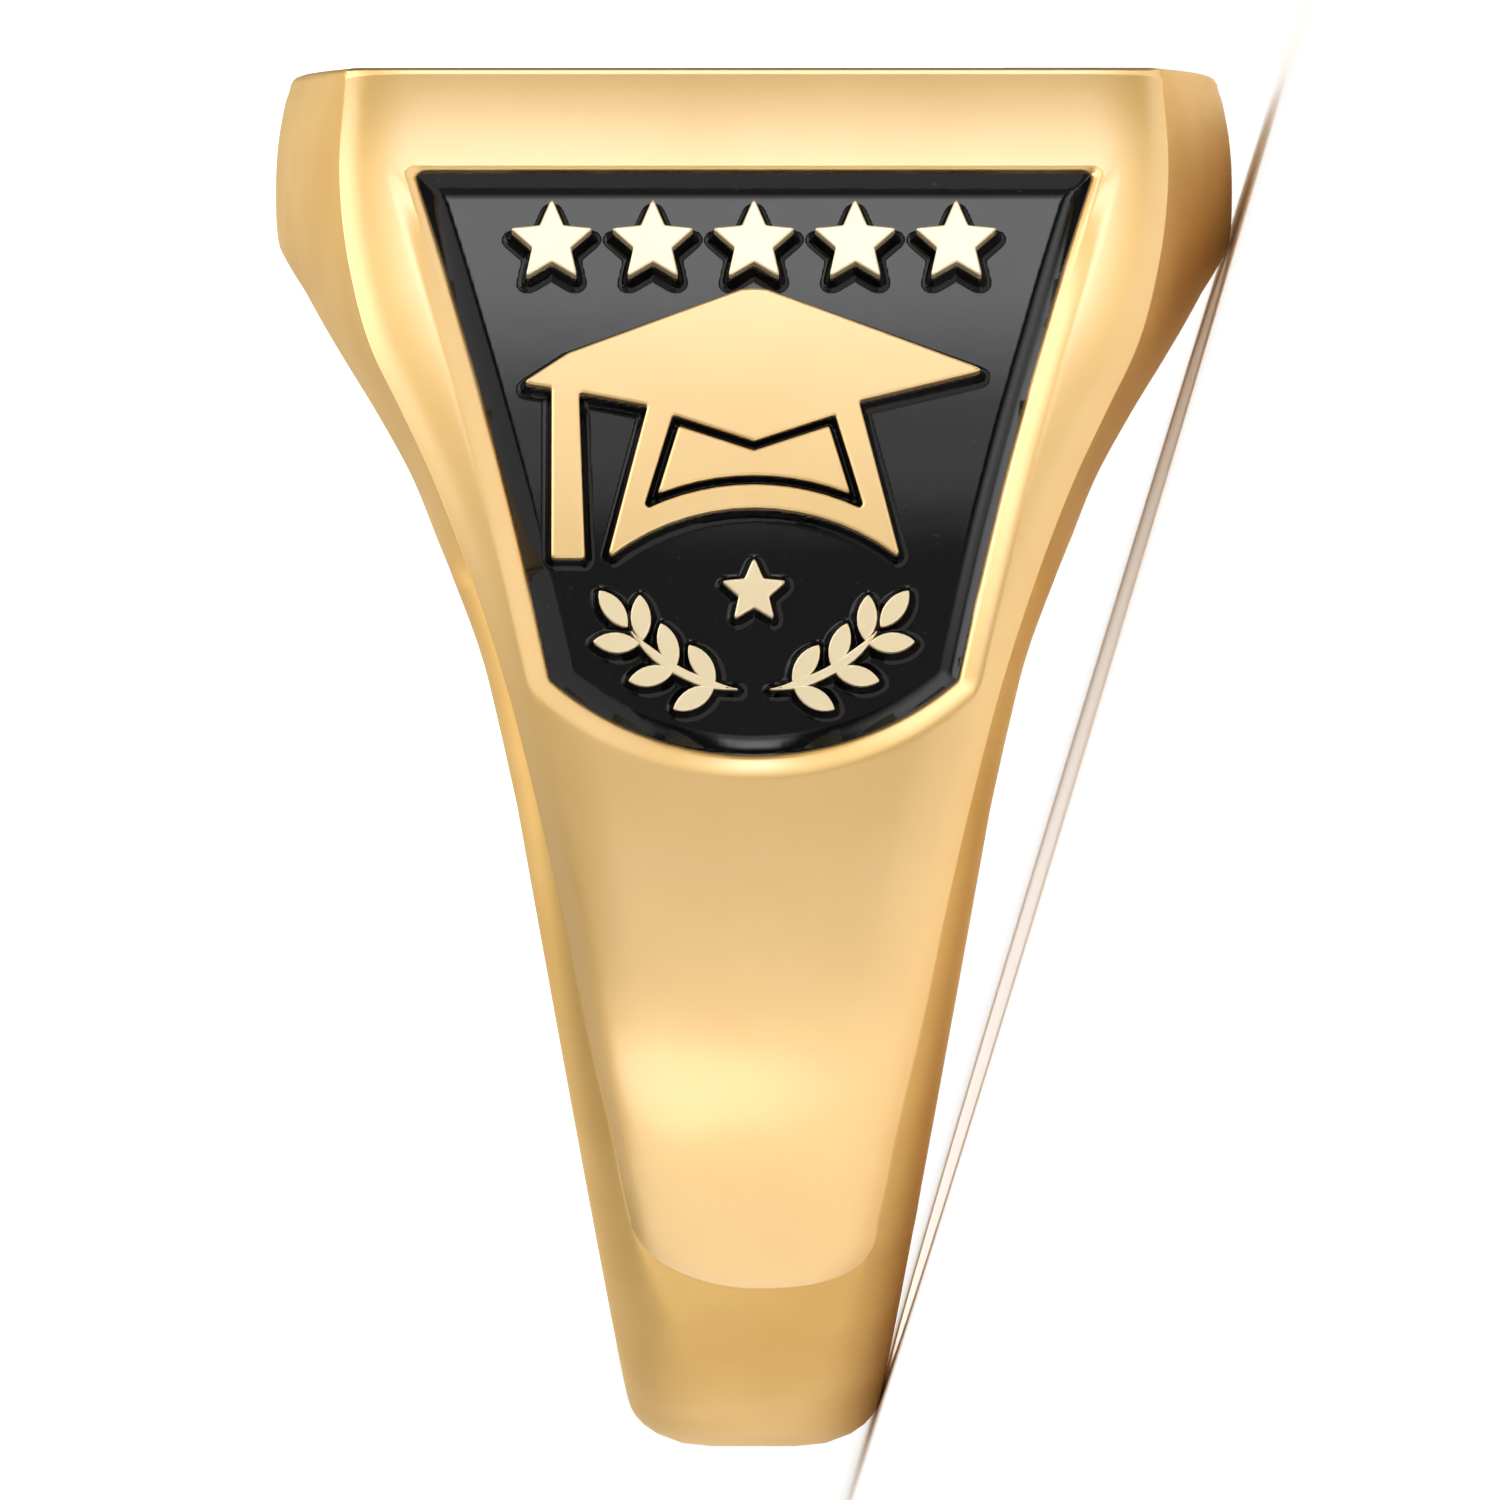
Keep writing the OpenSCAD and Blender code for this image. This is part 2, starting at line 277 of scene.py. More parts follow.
# %% [markdown]
# ## The edge of the polished face
#
# Each polished face is cut flat across the casting and meets the satin side walls in a crease. It starts
# at the table, follows the flare down to the shank, and ends in a U towards the palm, where the cut runs
# out. The U was shaped by hand and is a little squarer on one side.

# %% The crease as a closed line
TABLE_ROLL_H = 0.1
FACE_TOP = TABLE_H - TABLE_ROLL_H
U_DEPTH = 1.75
U_SQUARENESS = {-1: 1.8, 1: 2.5}
SIDE_POINTS = 150
U_POINTS = 30
TOP_POINTS = 70


def crease_side(side):
    """One side of the crease in the flat pattern, from the table to the bottom of the U."""
    s = np.linspace(along(FACE_TOP), along(FACE_LOW), SIDE_POINTS)
    w = np.where(s >= 0, SHOULDER_R * np.sin(s / SHOULDER_R), FACE_R * np.sin(s / FACE_R))
    turn = np.linspace(0, math.pi / 2, U_POINTS + 1)[1:]
    power = 2 / U_SQUARENESS[side]
    bend_v = crease(FACE_LOW) * np.cos(turn).clip(0) ** power
    bend_s = along(FACE_LOW) - U_DEPTH * np.sin(turn) ** power
    bend_v[-1] = 0
    return np.r_[np.c_[side * crease(w), s], np.c_[side * bend_v, bend_s]]


left_side = crease_side(-1)
right_side = crease_side(1)
top_edge = np.linspace(right_side[0], left_side[0], TOP_POINTS + 2)[1:-1]
crease_loop = np.r_[left_side, right_side[-2::-1], top_edge]
crease_low, crease_high = crease_loop[:, 1].min(), crease_loop[:, 1].max()
print(f"the crease has {len(crease_loop)} points, from s = {crease_low:.2f} to {crease_high:.2f}")

# %% [markdown]
# ## The panel
#
# The panel tapers like a shield with a curved foot. Its edge isn't sharp: polishing has rolled it over,
# and that narrow roll is what draws the bright line round the enamel. The wheel bit most at the foot, so
# the face also sinks there before it rolls over. It sinks less up the sides, and not at all at the top.

# %% The panel's outline, point for point with the crease
PANEL_TOP, PANEL_CORNER, PANEL_DROP = 11.33, 2.27, 1.33
PANEL_TOP_W, PANEL_LOW_W, PANEL_BOW = 12.04, 7.18, 0.13
PANEL_ROUND = 0.12
SIDE_STEPS, FOOT_STEPS, CORNER_STEPS = 24, 48, 5
FOOT_MEETS = 0.6


def flat_points(points):
    points = np.asarray(points, float)
    return np.c_[points[:, 0], along(points[:, 1])]


def panel_outline():
    half_top, half_low = PANEL_TOP_W / 2, PANEL_LOW_W / 2
    left = arc((-half_top, PANEL_TOP), (-half_low, PANEL_CORNER), PANEL_BOW, SIDE_STEPS)
    foot = arc((-half_low, PANEL_CORNER), (half_low, PANEL_CORNER), -PANEL_DROP, FOOT_STEPS)
    right = arc((half_low, PANEL_CORNER), (half_top, PANEL_TOP), PANEL_BOW, SIDE_STEPS)
    sharp = flat_points(np.r_[left, foot, right, [(half_top, PANEL_TOP)]])
    return rounded(sharp, PANEL_ROUND, CORNER_STEPS)


panel = panel_outline()


def stretch_between(line, start, end):
    """The part of a closed outline from the point nearest start to the point nearest end."""
    a = np.argmin(np.linalg.norm(line - start, axis=1))
    b = np.argmin(np.linalg.norm(line - end, axis=1))
    return np.roll(line, -a, 0)[: (b - a) % len(line) + 1]


EVEN_SHARE, WAVED_SHARE = 0.35, 0.65


def crowded(count, both_ends):
    """Shares from 0 to 1 that stand closer together near the corners."""
    even = np.linspace(0, 1, count)
    waved = (1 - np.cos(math.pi * even)) / 2 if both_ends else 1 - np.cos(math.pi / 2 * even)
    return even * EVEN_SHARE + waved * WAVED_SHARE


corners = flat_points([
    (-PANEL_TOP_W / 2, PANEL_TOP), (-PANEL_LOW_W / 2, PANEL_CORNER), (0, PANEL_CORNER - PANEL_DROP),
    (PANEL_LOW_W / 2, PANEL_CORNER), (PANEL_TOP_W / 2, PANEL_TOP),
])
beside = int(np.searchsorted(-left_side[:, 1], -along(FOOT_MEETS)))
below = len(left_side) - beside
stretches = [
    resample(stretch_between(panel, corners[0], corners[1]), crowded(beside, True)),
    resample(stretch_between(panel, corners[1], corners[2]), crowded(below, False)),
    resample(stretch_between(panel, corners[2], corners[3]), 1 - crowded(below, False)[::-1])[1:],
    resample(stretch_between(panel, corners[3], corners[4]), crowded(beside, True)),
    resample(stretch_between(panel, corners[4], corners[0]), crowded(TOP_POINTS + 2, True))[1:-1],
]
# Where two stretches share a corner point, the later one starts a little further on.
stretches[1][0] = stretches[1][:2].mean(0)
stretches[3][0] = stretches[3][:2].mean(0)
panel_loop = np.concatenate(stretches)
print(f"the panel has {len(panel_loop)} points for the crease's {len(crease_loop)}")

# %% [markdown]
# ## Half of the casting
#
# The casting looks the same turned half round about the line from the palm to the table, so half of it
# is made and its turned copy joined on. The half is one polished face with its panel, and one side wall.
# Each is a stack of closed lines with the same number of points, and bridging neighbouring lines gives
# clean rows of faces that run round the crease, where the light shows any unevenness.

# %% Closed lines and bridges
# The bright-cut finish is painted palest of all, as a painted highlight on the stars and the laurel.
# The lapped finish is painted paler than the buffed one, as a painted highlight on the mortarboard.
POLISHED, SATIN, LAPPED_PAINTED_HIGHLIGHT, BRIGHT_CUT_PAINTED_HIGHLIGHT = 0, 1, 2, 3


def closed_line(bm, points):
    verts = [bm.verts.new(p) for p in points]
    return [bm.edges.new(pair) for pair in zip(verts, verts[1:] + verts[:1])]


def level_line(bm, points, height):
    return closed_line(bm, np.c_[points, np.full(len(points), height)])


def bridge(bm, lines, material):
    """Bridges each closed line to the next, and returns the faces."""
    faces = []
    for a, b in zip(lines, lines[1:]):
        faces += bmesh.ops.bridge_loops(bm, edges=a + b)["faces"]
    for face in faces:
        face.material_index = material
    return faces


def lay_grain(bm, places):
    """Keeps each corner's place in the pattern, in millimetres, as the map that the brushing follows."""
    grain = bm.loops.layers.uv.verify()
    bm.verts.index_update()
    for face in bm.faces:
        for corner in face.loops:
            corner[grain].uv = places[corner.vert.index]


def cut_at(bm, geom, s):
    """Cuts parts of a flat piece across at one height, so that they can bend there."""
    return bmesh.ops.bisect_plane(bm, geom=geom, dist=1e-5, plane_co=(0, s, 0), plane_no=(0, 1, 0))["geom"]


# %% The polished face: rows from the crease to the lip, down the wall and across the floor of the field
FIELD_DEPTH = 0.7
LIP_R, LIP_R_TOP = 0.25, 0.08
# How wide and deep polishing rolled the face down: in two steps at the crease, and at the panel's foot.
WIDE_ROLL_W, WIDE_ROLL = 1.3, 0.085
EDGE_ROLL_W, EDGE_ROLL = 0.45, 0.045
ROLL_DROP = WIDE_ROLL + EDGE_ROLL
FOOT_ROLL_W, FOOT_ROLL, FOOT_POWER = 0.34, 0.13, 1.5
LIP_SIDE = 0.55
# Columns are s in the flat pattern, and the share of the foot's roll that the lip has there.
LIP_SHARES = [(2.6, 1), (6.5, LIP_SIDE), (9.0, LIP_SIDE), (11.7, 0)]
BEND_STEP = 0.4
# Rows stand closest where the face curves most: these far from the crease, and these far from the lip.
NEAR_CREASE = np.array([0, 0.03, 0.08, 0.15, 0.25, 0.38, 0.53, 0.7, 0.9, 1.12])
NEAR_LIP = np.array([0.5, 0.4, 0.34, 0.3, 0.25, 0.19, 0.12, 0.06, 0.02, 0])
MOST_OUTER, MOST_INNER = 0.45, 0.3
MIDDLE_ROWS, LIP_ROWS = 8, 6


def lookup(x, rows):
    """Straight lines between the rows of a table."""
    return np.interp(x, *np.array(rows, float).T)


def foot_share(s):
    """1 round the panel's foot, where polishing rounded the lip most, less up its sides, 0 at its top."""
    return lookup(s, LIP_SHARES)


outwards = offset(panel_loop, 1) - panel_loop
upwards = (outwards[:, 1] / np.linalg.norm(outwards, axis=1)).clip(0)[:, None]
lip_r = LIP_R - (LIP_R - LIP_R_TOP) * upwards ** 2
foot = foot_share(panel_loop[:, 1:])
lip_turn = np.arctan(FOOT_POWER * FOOT_ROLL / FOOT_ROLL_W * foot)
lip_reach = lip_r * (1 - np.sin(lip_turn))
lip_start = offset(panel_loop, lip_reach)
crease_only = np.r_[left_side, right_side[-2::-1]]


def face_rows():
    """Points of every row across the face, from the crease to where the lip starts to roll."""
    across = lip_start - crease_loop
    length = np.linalg.norm(across, axis=1)
    way = across / length[:, None]
    outer = NEAR_CREASE[:, None] * np.minimum(1, MOST_OUTER * length / NEAR_CREASE[-1])
    inner = length - NEAR_LIP[:, None] * np.minimum(1, MOST_INNER * length / NEAR_LIP[0])
    share = np.linspace(0, 1, MIDDLE_ROWS + 2)[1:-1, None]
    middle = outer[-1] * (1 - share) + inner[0] * share
    return [crease_loop + way * far[:, None] for far in np.r_[outer, middle, inner]]


def roll(points):
    """How far polishing has rounded the face down, close to its crease."""
    gap = gap_to(points, crease_only, closed=False)
    wide = WIDE_ROLL * (1 - gap / WIDE_ROLL_W).clip(0) ** 2
    edge = EDGE_ROLL * (1 - gap / EDGE_ROLL_W).clip(0) ** 2
    return -wide - edge


def dish(points):
    """How far a row of the face, point for point with the panel, sinks towards the panel's foot."""
    gap = gap_to(points, panel_loop) - lip_reach[:, 0]
    return -FOOT_ROLL * foot[:, 0] * (1 - gap / FOOT_ROLL_W).clip(0, 1) ** FOOT_POWER


def make_face():
    bm = bmesh.new()
    lines = [closed_line(bm, np.c_[row, roll(row) + dish(row)]) for row in face_rows()]
    edge_height = roll(lip_start)[:, None]
    for share in np.linspace(0, 1, LIP_ROWS + 1)[1:]:
        turn = lip_turn + (math.pi / 2 - lip_turn) * share
        row = offset(panel_loop, lip_r * (1 - np.sin(turn)))
        height = edge_height * (1 - share) - FOOT_ROLL * foot - lip_r * (np.cos(lip_turn) - np.cos(turn))
        lines.append(closed_line(bm, np.c_[row, height]))
    for depth in (0.75 * FIELD_DEPTH, FIELD_DEPTH):
        lines.append(level_line(bm, panel_loop, -depth))
    bridge(bm, lines, POLISHED)
    bmesh.ops.edgeloop_fill(bm, edges=lines[-1], mat_nr=POLISHED)
    floor = [f for f in bm.faces if len(f.verts) > 4]
    for s in np.arange(along(1), along(PANEL_TOP), BEND_STEP):
        geom = set(floor)
        for face in floor:
            geom.update(face.verts)
            geom.update(face.edges)
        cut = cut_at(bm, list(geom), s)
        floor = [f for f in cut if isinstance(f, bmesh.types.BMFace) and f.is_valid]
    lay_grain(bm, [(v.co.x, v.co.y) for v in bm.verts])
    wrap_mesh(bm)
    return bm


face_mesh = make_face()
print(f"a shoulder's face has {len(face_mesh.faces)} faces")

# %% [markdown]
# ## The side wall
#
# Seen from the side, the casting is thinnest at its creases and swells between them: on the head in one
# long barrel curve, and on the shank in a short rounded edge. Towards the palm the polished faces have
# run out, and the wall begins at the middle of the band. So the wall's first closed line runs down one
# crease and half its U, along the middle of the palm side, up the other crease, and back over the edge
# of the table.

# %% Sections of the wall
LAST_TURN = math.radians(30)
RIDGE_R = FACE_R - ROLL_DROP
RIDGE_SHOULDER_R = SHOULDER_R - ROLL_DROP


def at_turn(radius, turn, z):
    """Points at a turn from the palm round the finger hole, and at a place along it."""
    return np.c_[-radius * np.cos(turn), -radius * np.sin(turn), z]


def band_r(x):
    """Outer radius of the shank: the polished faces stand a little proud until they run out."""
    return lookup(x, [(-9.8, HEEL_R), (-8, RIDGE_R)])


def outer_r(turn):
    """How far the casting's outer face is from the hole's axis. Turn is 0 at the palm, pi at the table."""
    x = -np.cos(turn)
    slope = SHOULDER_Y * np.abs(np.sin(turn))
    shoulder = np.sqrt(slope ** 2 + RIDGE_SHOULDER_R ** 2 - SHOULDER_Y ** 2) - slope
    table = FACE_TOP / np.maximum(x, 0.1)
    return np.where(x < 0, band_r(x * FACE_R), np.minimum(shoulder, table))


def wall_half(x, y):
    """Half the width of the casting at a point of its wall.

    The shank has a narrow rounded edge, and the crease lies a little way round it. Up the head the curve
    reaches over the whole wall, and becomes one long barrel.
    """
    wide, start = half_width(x), crease(np.minimum(x, TABLE_H))
    reach = lookup(x / TABLE_H, [(0.3, 0), (0.7, 1)])
    shoulder = np.sqrt(RIDGE_SHOULDER_R ** 2 - np.minimum(x, TABLE_H) ** 2) - SHOULDER_Y
    depth = np.where(x < 0, band_r(x) - np.hypot(x, y), shoulder - np.abs(y))
    out = (1 - depth / (EDGE_DEPTH * (1 - reach) + shoulder * reach)).clip(0, 1)
    first = lookup(x, [(-10, 1), (-8, 0.86)])
    round_in = (1 - np.sqrt(1 - (out * first) ** 2)) / (1 - np.sqrt(1 - first ** 2))
    barrel = lookup(x / TABLE_H, [(0, 0), (0.4, 1)])
    drawn = round_in * (1 - barrel) + out ** 2 * barrel
    return wide - (wide - start) * drawn


def section(turn, place):
    """Radius and half width of a point of the casting's section at a turn from the palm.

    Place runs from -1 in the middle of the outer face to 0 at its edge, and on to 1 at the finger hole.
    """
    top = outer_r(turn)
    deep = np.clip(place, 0, 1)
    radius = top + (FINGER_R - top) * deep
    half = wall_half(-radius * np.cos(turn), radius * np.sin(turn))
    return radius, half * (1 + np.clip(place, -1, 0))


print("outer radius at palm, side and table:", outer_r(np.radians([0, 90, 180])).round(2))

# %% The wall's first line, and where each of its points reaches the finger hole
HEEL_POINTS = 110
TABLE_POINTS = 60


def turned(points):
    """The same points on the other shoulder."""
    return points * np.array([1, -1, -1])


def heights(line):
    return np.c_[line, roll(line)]


near_side = wrap(heights(left_side))
far_side = turned(wrap(heights(right_side)))[::-1]
u_turn = math.pi / 2 + left_side[-1, 1] / FACE_R
heel_turns = np.linspace(u_turn, -u_turn, HEEL_POINTS + 2)[1:-1]
heel_line = at_turn(outer_r(heel_turns), heel_turns, 0 * heel_turns)
table_y = np.linspace(far_side[-1, 1], near_side[0, 1], TABLE_POINTS + 2)[1:-1]
table_x = np.full(TABLE_POINTS, FACE_TOP)
table_side = np.c_[table_x, table_y, wall_half(table_x, table_y)]
wall_start = np.r_[near_side, heel_line, far_side, table_side]


def hole_turns():
    """The turns at which each point's row starts and ends: the ends fan out from the U to the palm."""
    start = np.arctan2(-wall_start[:, 1], -wall_start[:, 0])
    end = start.copy()
    side = len(near_side)
    fan = np.linspace(0, 1, U_POINTS + 1)
    first = start[side - U_POINTS - 1]
    end[side - U_POINTS - 1:side] = first + (LAST_TURN - first) * fan
    end[side:side + HEEL_POINTS] = heel_turns / u_turn * LAST_TURN
    far = side + HEEL_POINTS
    last = start[far + U_POINTS]
    end[far:far + U_POINTS + 1] = -LAST_TURN + (last + LAST_TURN) * fan
    return start, end


start_turn, end_turn = hole_turns()
print(f"the wall's first line has {len(wall_start)} points")

# %% Bridge the wall, round its edge into the finger hole, and stop half way through the hole
WALL_ROWS = 26
RIM_R = 0.22
# Rows from the rim to half way through the hole, and how many millimetres of the pattern they take.
HOLE_SHARES = np.array([0.1, 0.4, 0.7, 1])
HOLE_GRAIN = 4


def start_places():
    """Where on its section each point of the first line lies."""
    wide = wall_half(wall_start[:, 0], wall_start[:, 1])
    return np.minimum(np.abs(wall_start[:, 2]) / wide - 1, 0)


def wall_rows():
    """Rows across the wall. They leave a crease slowly, which keeps it crisp, and the band at once."""
    first_place = start_places()
    rows = [wall_start]
    r0, z0 = section(start_turn, first_place)
    miss = wall_start - at_turn(r0, start_turn, z0)
    on_band = lookup(-first_place, [(0.02, 0), (0.4, 1)])
    for t in np.linspace(0, 1, WALL_ROWS + 1)[1:]:
        from_crease = (1 - math.cos(math.pi * t)) / 2
        from_band = math.sin(math.pi * t / 2)
        t_row = from_crease * (1 - on_band) + from_band * on_band
        place = first_place + (1 - first_place) * t_row
        turn = start_turn + (end_turn - start_turn) * t_row
        radius, half = section(turn, place)
        rim = (RIM_R - (radius - FINGER_R)).clip(0, RIM_R) / RIM_R
        half = half - RIM_R * (1 - np.sqrt(1 - rim ** 2))
        rows.append(at_turn(radius, turn, half) + miss * (1 - t_row[:, None]) ** 3)
    return rows


def make_wall():
    bm = bmesh.new()
    rows = wall_rows()
    lines = [closed_line(bm, row) for row in rows]
    bridge(bm, lines, SATIN)
    last = rows[-1]
    inner = [closed_line(bm, last * np.array([1, 1, 1 - share])) for share in HOLE_SHARES]
    bridge(bm, [lines[-1]] + inner, POLISHED)
    run = np.r_[0, np.cumsum(np.linalg.norm(np.diff(rows[0], axis=0), axis=1))]
    across = np.cumsum([0] + [np.linalg.norm(b - a, axis=1).mean() for a, b in zip(rows, rows[1:])])
    depths = np.r_[across, across[-1] + HOLE_GRAIN * HOLE_SHARES]
    lay_grain(bm, [(depth, far) for depth in depths for far in run])
    return bm


wall_mesh = make_wall()
print(f"a side wall has {len(wall_mesh.faces)} faces")

# %% [markdown]
# ## Join the halves
#
# The face and the wall share the points of the crease, so merging doubles closes the seam between them,
# and the turned copy closes the rest. Only the table is still open. Its edge is rolled over by extruding
# the open line inwards in small steps, and then it is filled.

# %% Join meshes, and close the table
TABLE_ROLL_SIDE, TABLE_ROLL_FACE = 0.21, 0.11
TABLE_TURNS = np.radians([22.5, 45, 67.5, 90])
MERGE = 2e-4


def join(target, *others):
    """Adds copies of other meshes to a mesh."""
    for other in others:
        carrier = bpy.data.meshes.new("carrier")
        other.to_mesh(carrier)
        target.from_mesh(carrier)
        bpy.data.meshes.remove(carrier)


def turn_over(bm, verts):
    """Turns points half round about the line from the palm to the table."""
    bmesh.ops.rotate(bm, verts=verts, matrix=Matrix.Rotation(math.pi, 3, "X"), cent=(0, 0, 0))


def add_turned_copy(bm):
    copy = bmesh.ops.duplicate(bm, geom=bm.verts[:] + bm.edges[:] + bm.faces[:])["geom"]
    turn_over(bm, [v for v in copy if isinstance(v, bmesh.types.BMVert)])


def close_table(bm):
    edges = [e for e in bm.edges if e.is_boundary and min(v.co.x for v in e.verts) > FACE_TOP - ROLL_DROP]
    first = {v: v.co.copy() for e in edges for v in e.verts}
    half_y = max(abs(c.y) for c in first.values())
    half_z = max(abs(c.z) for c in first.values())
    places = dict(first)
    for turn in TABLE_TURNS:
        made = bmesh.ops.extrude_edge_only(bm, edges=edges)["geom"]
        new_edges = [e for e in made if isinstance(e, bmesh.types.BMEdge)]
        new_places = {}
        for vert in {v for e in new_edges for v in e.verts}:
            near = min(places, key=lambda old: (old.co - vert.co).length_squared)
            start = places[near]
            into = 1 - math.cos(turn)
            vert.co = (
                FACE_TOP + (TABLE_H - FACE_TOP) * math.sin(turn),
                start.y * (1 - TABLE_ROLL_FACE / half_y * into),
                start.z * (1 - TABLE_ROLL_SIDE / half_z * into),
            )
            new_places[vert] = start
        edges, places = new_edges, new_places
    bmesh.ops.edgeloop_fill(bm, edges=edges, mat_nr=POLISHED)


body = bmesh.new()
join(body, face_mesh, wall_mesh)
add_turned_copy(body)
bmesh.ops.remove_doubles(body, verts=body.verts, dist=MERGE)
open_before = sum(e.is_boundary for e in body.edges)
close_table(body)
bmesh.ops.recalc_face_normals(body, faces=body.faces)
loose = [e for e in body.edges if not e.is_manifold]
print(f"open edges round the table: {open_before}, and after it was closed: {len(loose)}")

# %% [markdown]
# ## The figures
#
# The mortarboard, the stars and the laurel were cast standing up from the floor of the field, and lapped
# level with the shoulder, which left their edges slightly rounded. Each outline becomes closed lines at
# several heights, bridged like the face, and its top is filled. The tops are cut across before they are
# wrapped on, so that they bend with the shoulder.

# %% Outlines of the figures, as they look from outside
BOARD_W, BOARD_LOW, BOARD_H = 8.26, 6.74, 2.46
TASSEL_W, TASSEL_LEN, TASSEL_GAP = 0.6, 3.24, 0.42
TASSEL_LEFT = -BOARD_W * 0.435
CROWN_W = 2 * (-TASSEL_LEFT - TASSEL_W - TASSEL_GAP)
CROWN_LOW = 4.44
CROWN_RISE = CROWN_W * 0.164
CROWN_TOP = BOARD_LOW + BOARD_H * 0.2
CROWN_LINE = 0.16
CORNER_R = 0.07


def meet(a, b, c, d):
    """Where the line through a and b meets the line through c and d."""
    a, b, c, d = (np.array(p, float) for p in (a, b, c, d))
    t = np.linalg.solve(np.c_[b - a, c - d], c - a)[0]
    return a + (b - a) * t


def board_point(across, up):
    return (across * BOARD_W, BOARD_LOW + up * BOARD_H)


def cap_outline():
    """Board, tassel and crown in one outline, counter-clockwise from the board's right tip."""
    tassel_top = BOARD_LOW + BOARD_H * 0.36
    tassel_foot = tassel_top - TASSEL_LEN
    right_tip, left_tip = board_point(0.5, 0.405), board_point(-0.5, 0.31)
    under_left, low = board_point(-0.38, 0.25), board_point(0, 0)
    crown_side = [(0.36 * CROWN_W, CROWN_TOP), (0.5 * CROWN_W, CROWN_LOW + 0.01 * CROWN_W)]
    other_side = [(-x, y) for x, y in crown_side]
    outer_edge = [(TASSEL_LEFT, tassel_top), (TASSEL_LEFT, tassel_foot)]
    inner_edge = [(TASSEL_LEFT + 0.8 * TASSEL_W, tassel_top), (TASSEL_LEFT + TASSEL_W, tassel_foot)]
    foot = arc((-0.49 * CROWN_W, CROWN_LOW), (0.49 * CROWN_W, CROWN_LOW), CROWN_RISE, 14)
    return np.array([
        right_tip, board_point(0.028, 0.992), board_point(0, 1), board_point(-0.028, 0.992),
        board_point(-0.4, 0.53), left_tip, meet(left_tip, under_left, *outer_edge), outer_edge[1],
        inner_edge[1], meet(under_left, low, *inner_edge), meet(under_left, low, *other_side),
        other_side[1], *foot, (0.49 * CROWN_W, CROWN_LOW), crown_side[1],
        meet(low, right_tip, *crown_side),
    ])


def crown_face():
    """The opening in the crown, which is the outer edge of its line of enamel."""
    notch = BOARD_LOW - BOARD_H * 0.11
    foot = CROWN_LOW + CROWN_RISE
    shoulder = (0.28 * CROWN_W, notch + 0.19 * BOARD_H)
    heel = (0.375 * CROWN_W, foot + 0.015 * CROWN_W)
    curve = arc((-0.365 * CROWN_W, foot), (0.365 * CROWN_W, foot), CROWN_RISE / 2, 12)
    return np.array([
        (0, notch), (-shoulder[0], shoulder[1]), (-heel[0], heel[1]),
        *curve, (0.365 * CROWN_W, foot), heel, shoulder,
    ])


STAR_INNER = 0.46


def star(radius, height, across=0.0):
    turns = math.pi / 5 * np.arange(10)
    reach = np.where(np.arange(10) % 2 == 0, radius, radius * STAR_INNER)
    return np.c_[across - reach * np.sin(turns), height + reach * np.cos(turns)]


STAR_R, STAR_COUNT, STAR_PITCH, STAR_H = 0.79, 5, 1.8, 10.03
LOW_STAR_R, LOW_STAR_H = 0.62, 3.8
stars = [star(STAR_R, STAR_H, (i - (STAR_COUNT - 1) / 2) * STAR_PITCH) for i in range(STAR_COUNT)]
stars.append(star(LOW_STAR_R, LOW_STAR_H))

LEAF_PAIRS, LEAF_LEN, LEAF_W, LEAF_LEAN = 3, 0.88, 0.36, 42
STEM_W, BRANCH_R, LAUREL_LOW = 0.16, 2.8, 2.05
FOOT_ANGLE, TIP_ANGLE = 5, 52


def turned_by(points, degrees):
    c, s = math.cos(math.radians(degrees)), math.sin(math.radians(degrees))
    return np.asarray(points) @ np.array([[c, s], [-s, c]])


def leaf(lean, turn):
    base, tip = (STEM_W * 0.3, 0), (LEAF_LEN, 0)
    blade = np.r_[arc(base, tip, -LEAF_W / 2, 8), arc(tip, base, -LEAF_W / 2, 8)]
    return turned_by(turned_by(blade, lean) + (0, -BRANCH_R), turn) + (0, LAUREL_LOW + BRANCH_R)


def stem():
    share = np.linspace(0, 1, 15)
    half = STEM_W / 2 * np.minimum(1, np.minimum(4 * share, 4 * (1 - share)))
    turn = np.radians(FOOT_ANGLE - 90 + (TIP_ANGLE - FOOT_ANGLE) * share)
    way = np.c_[np.cos(turn), np.sin(turn)]
    outer, inner = way * (BRANCH_R + half)[:, None], way * (BRANCH_R - half)[:, None]
    return np.r_[outer, inner[-2:0:-1]] + (0, LAUREL_LOW + BRANCH_R)


def branch():
    step = (TIP_ANGLE - FOOT_ANGLE) / LEAF_PAIRS
    turns = [FOOT_ANGLE + step * (i + 0.55) for i in range(LEAF_PAIRS)]
    leaves = [leaf(side * LEAF_LEAN, turn) for turn in turns for side in (-1, 1)]
    return [stem(), leaf(0, TIP_ANGLE)] + leaves


right_branch = branch()
laurel = right_branch + [part[::-1] * (-1, 1) for part in right_branch]
print(f"figures: a mortarboard, {len(stars)} stars and {len(laurel)} leaves and stems")

# %% Raise them
CAP_ROUND, CROWN_ROUND, STAR_CORNER, LEAF_CORNER = 0.05, 0.05, 0.045, 0.03
SMALL_TOP = 0.8
TOP_TURNS = np.radians([30, 60, 90])
FOOT_BELOW, HALF_WAY = 0.05, 0.4
LAP_STEP = 0.35


def flat_outline(points, radius=CORNER_R):
    return rounded(flat_points(points), radius)


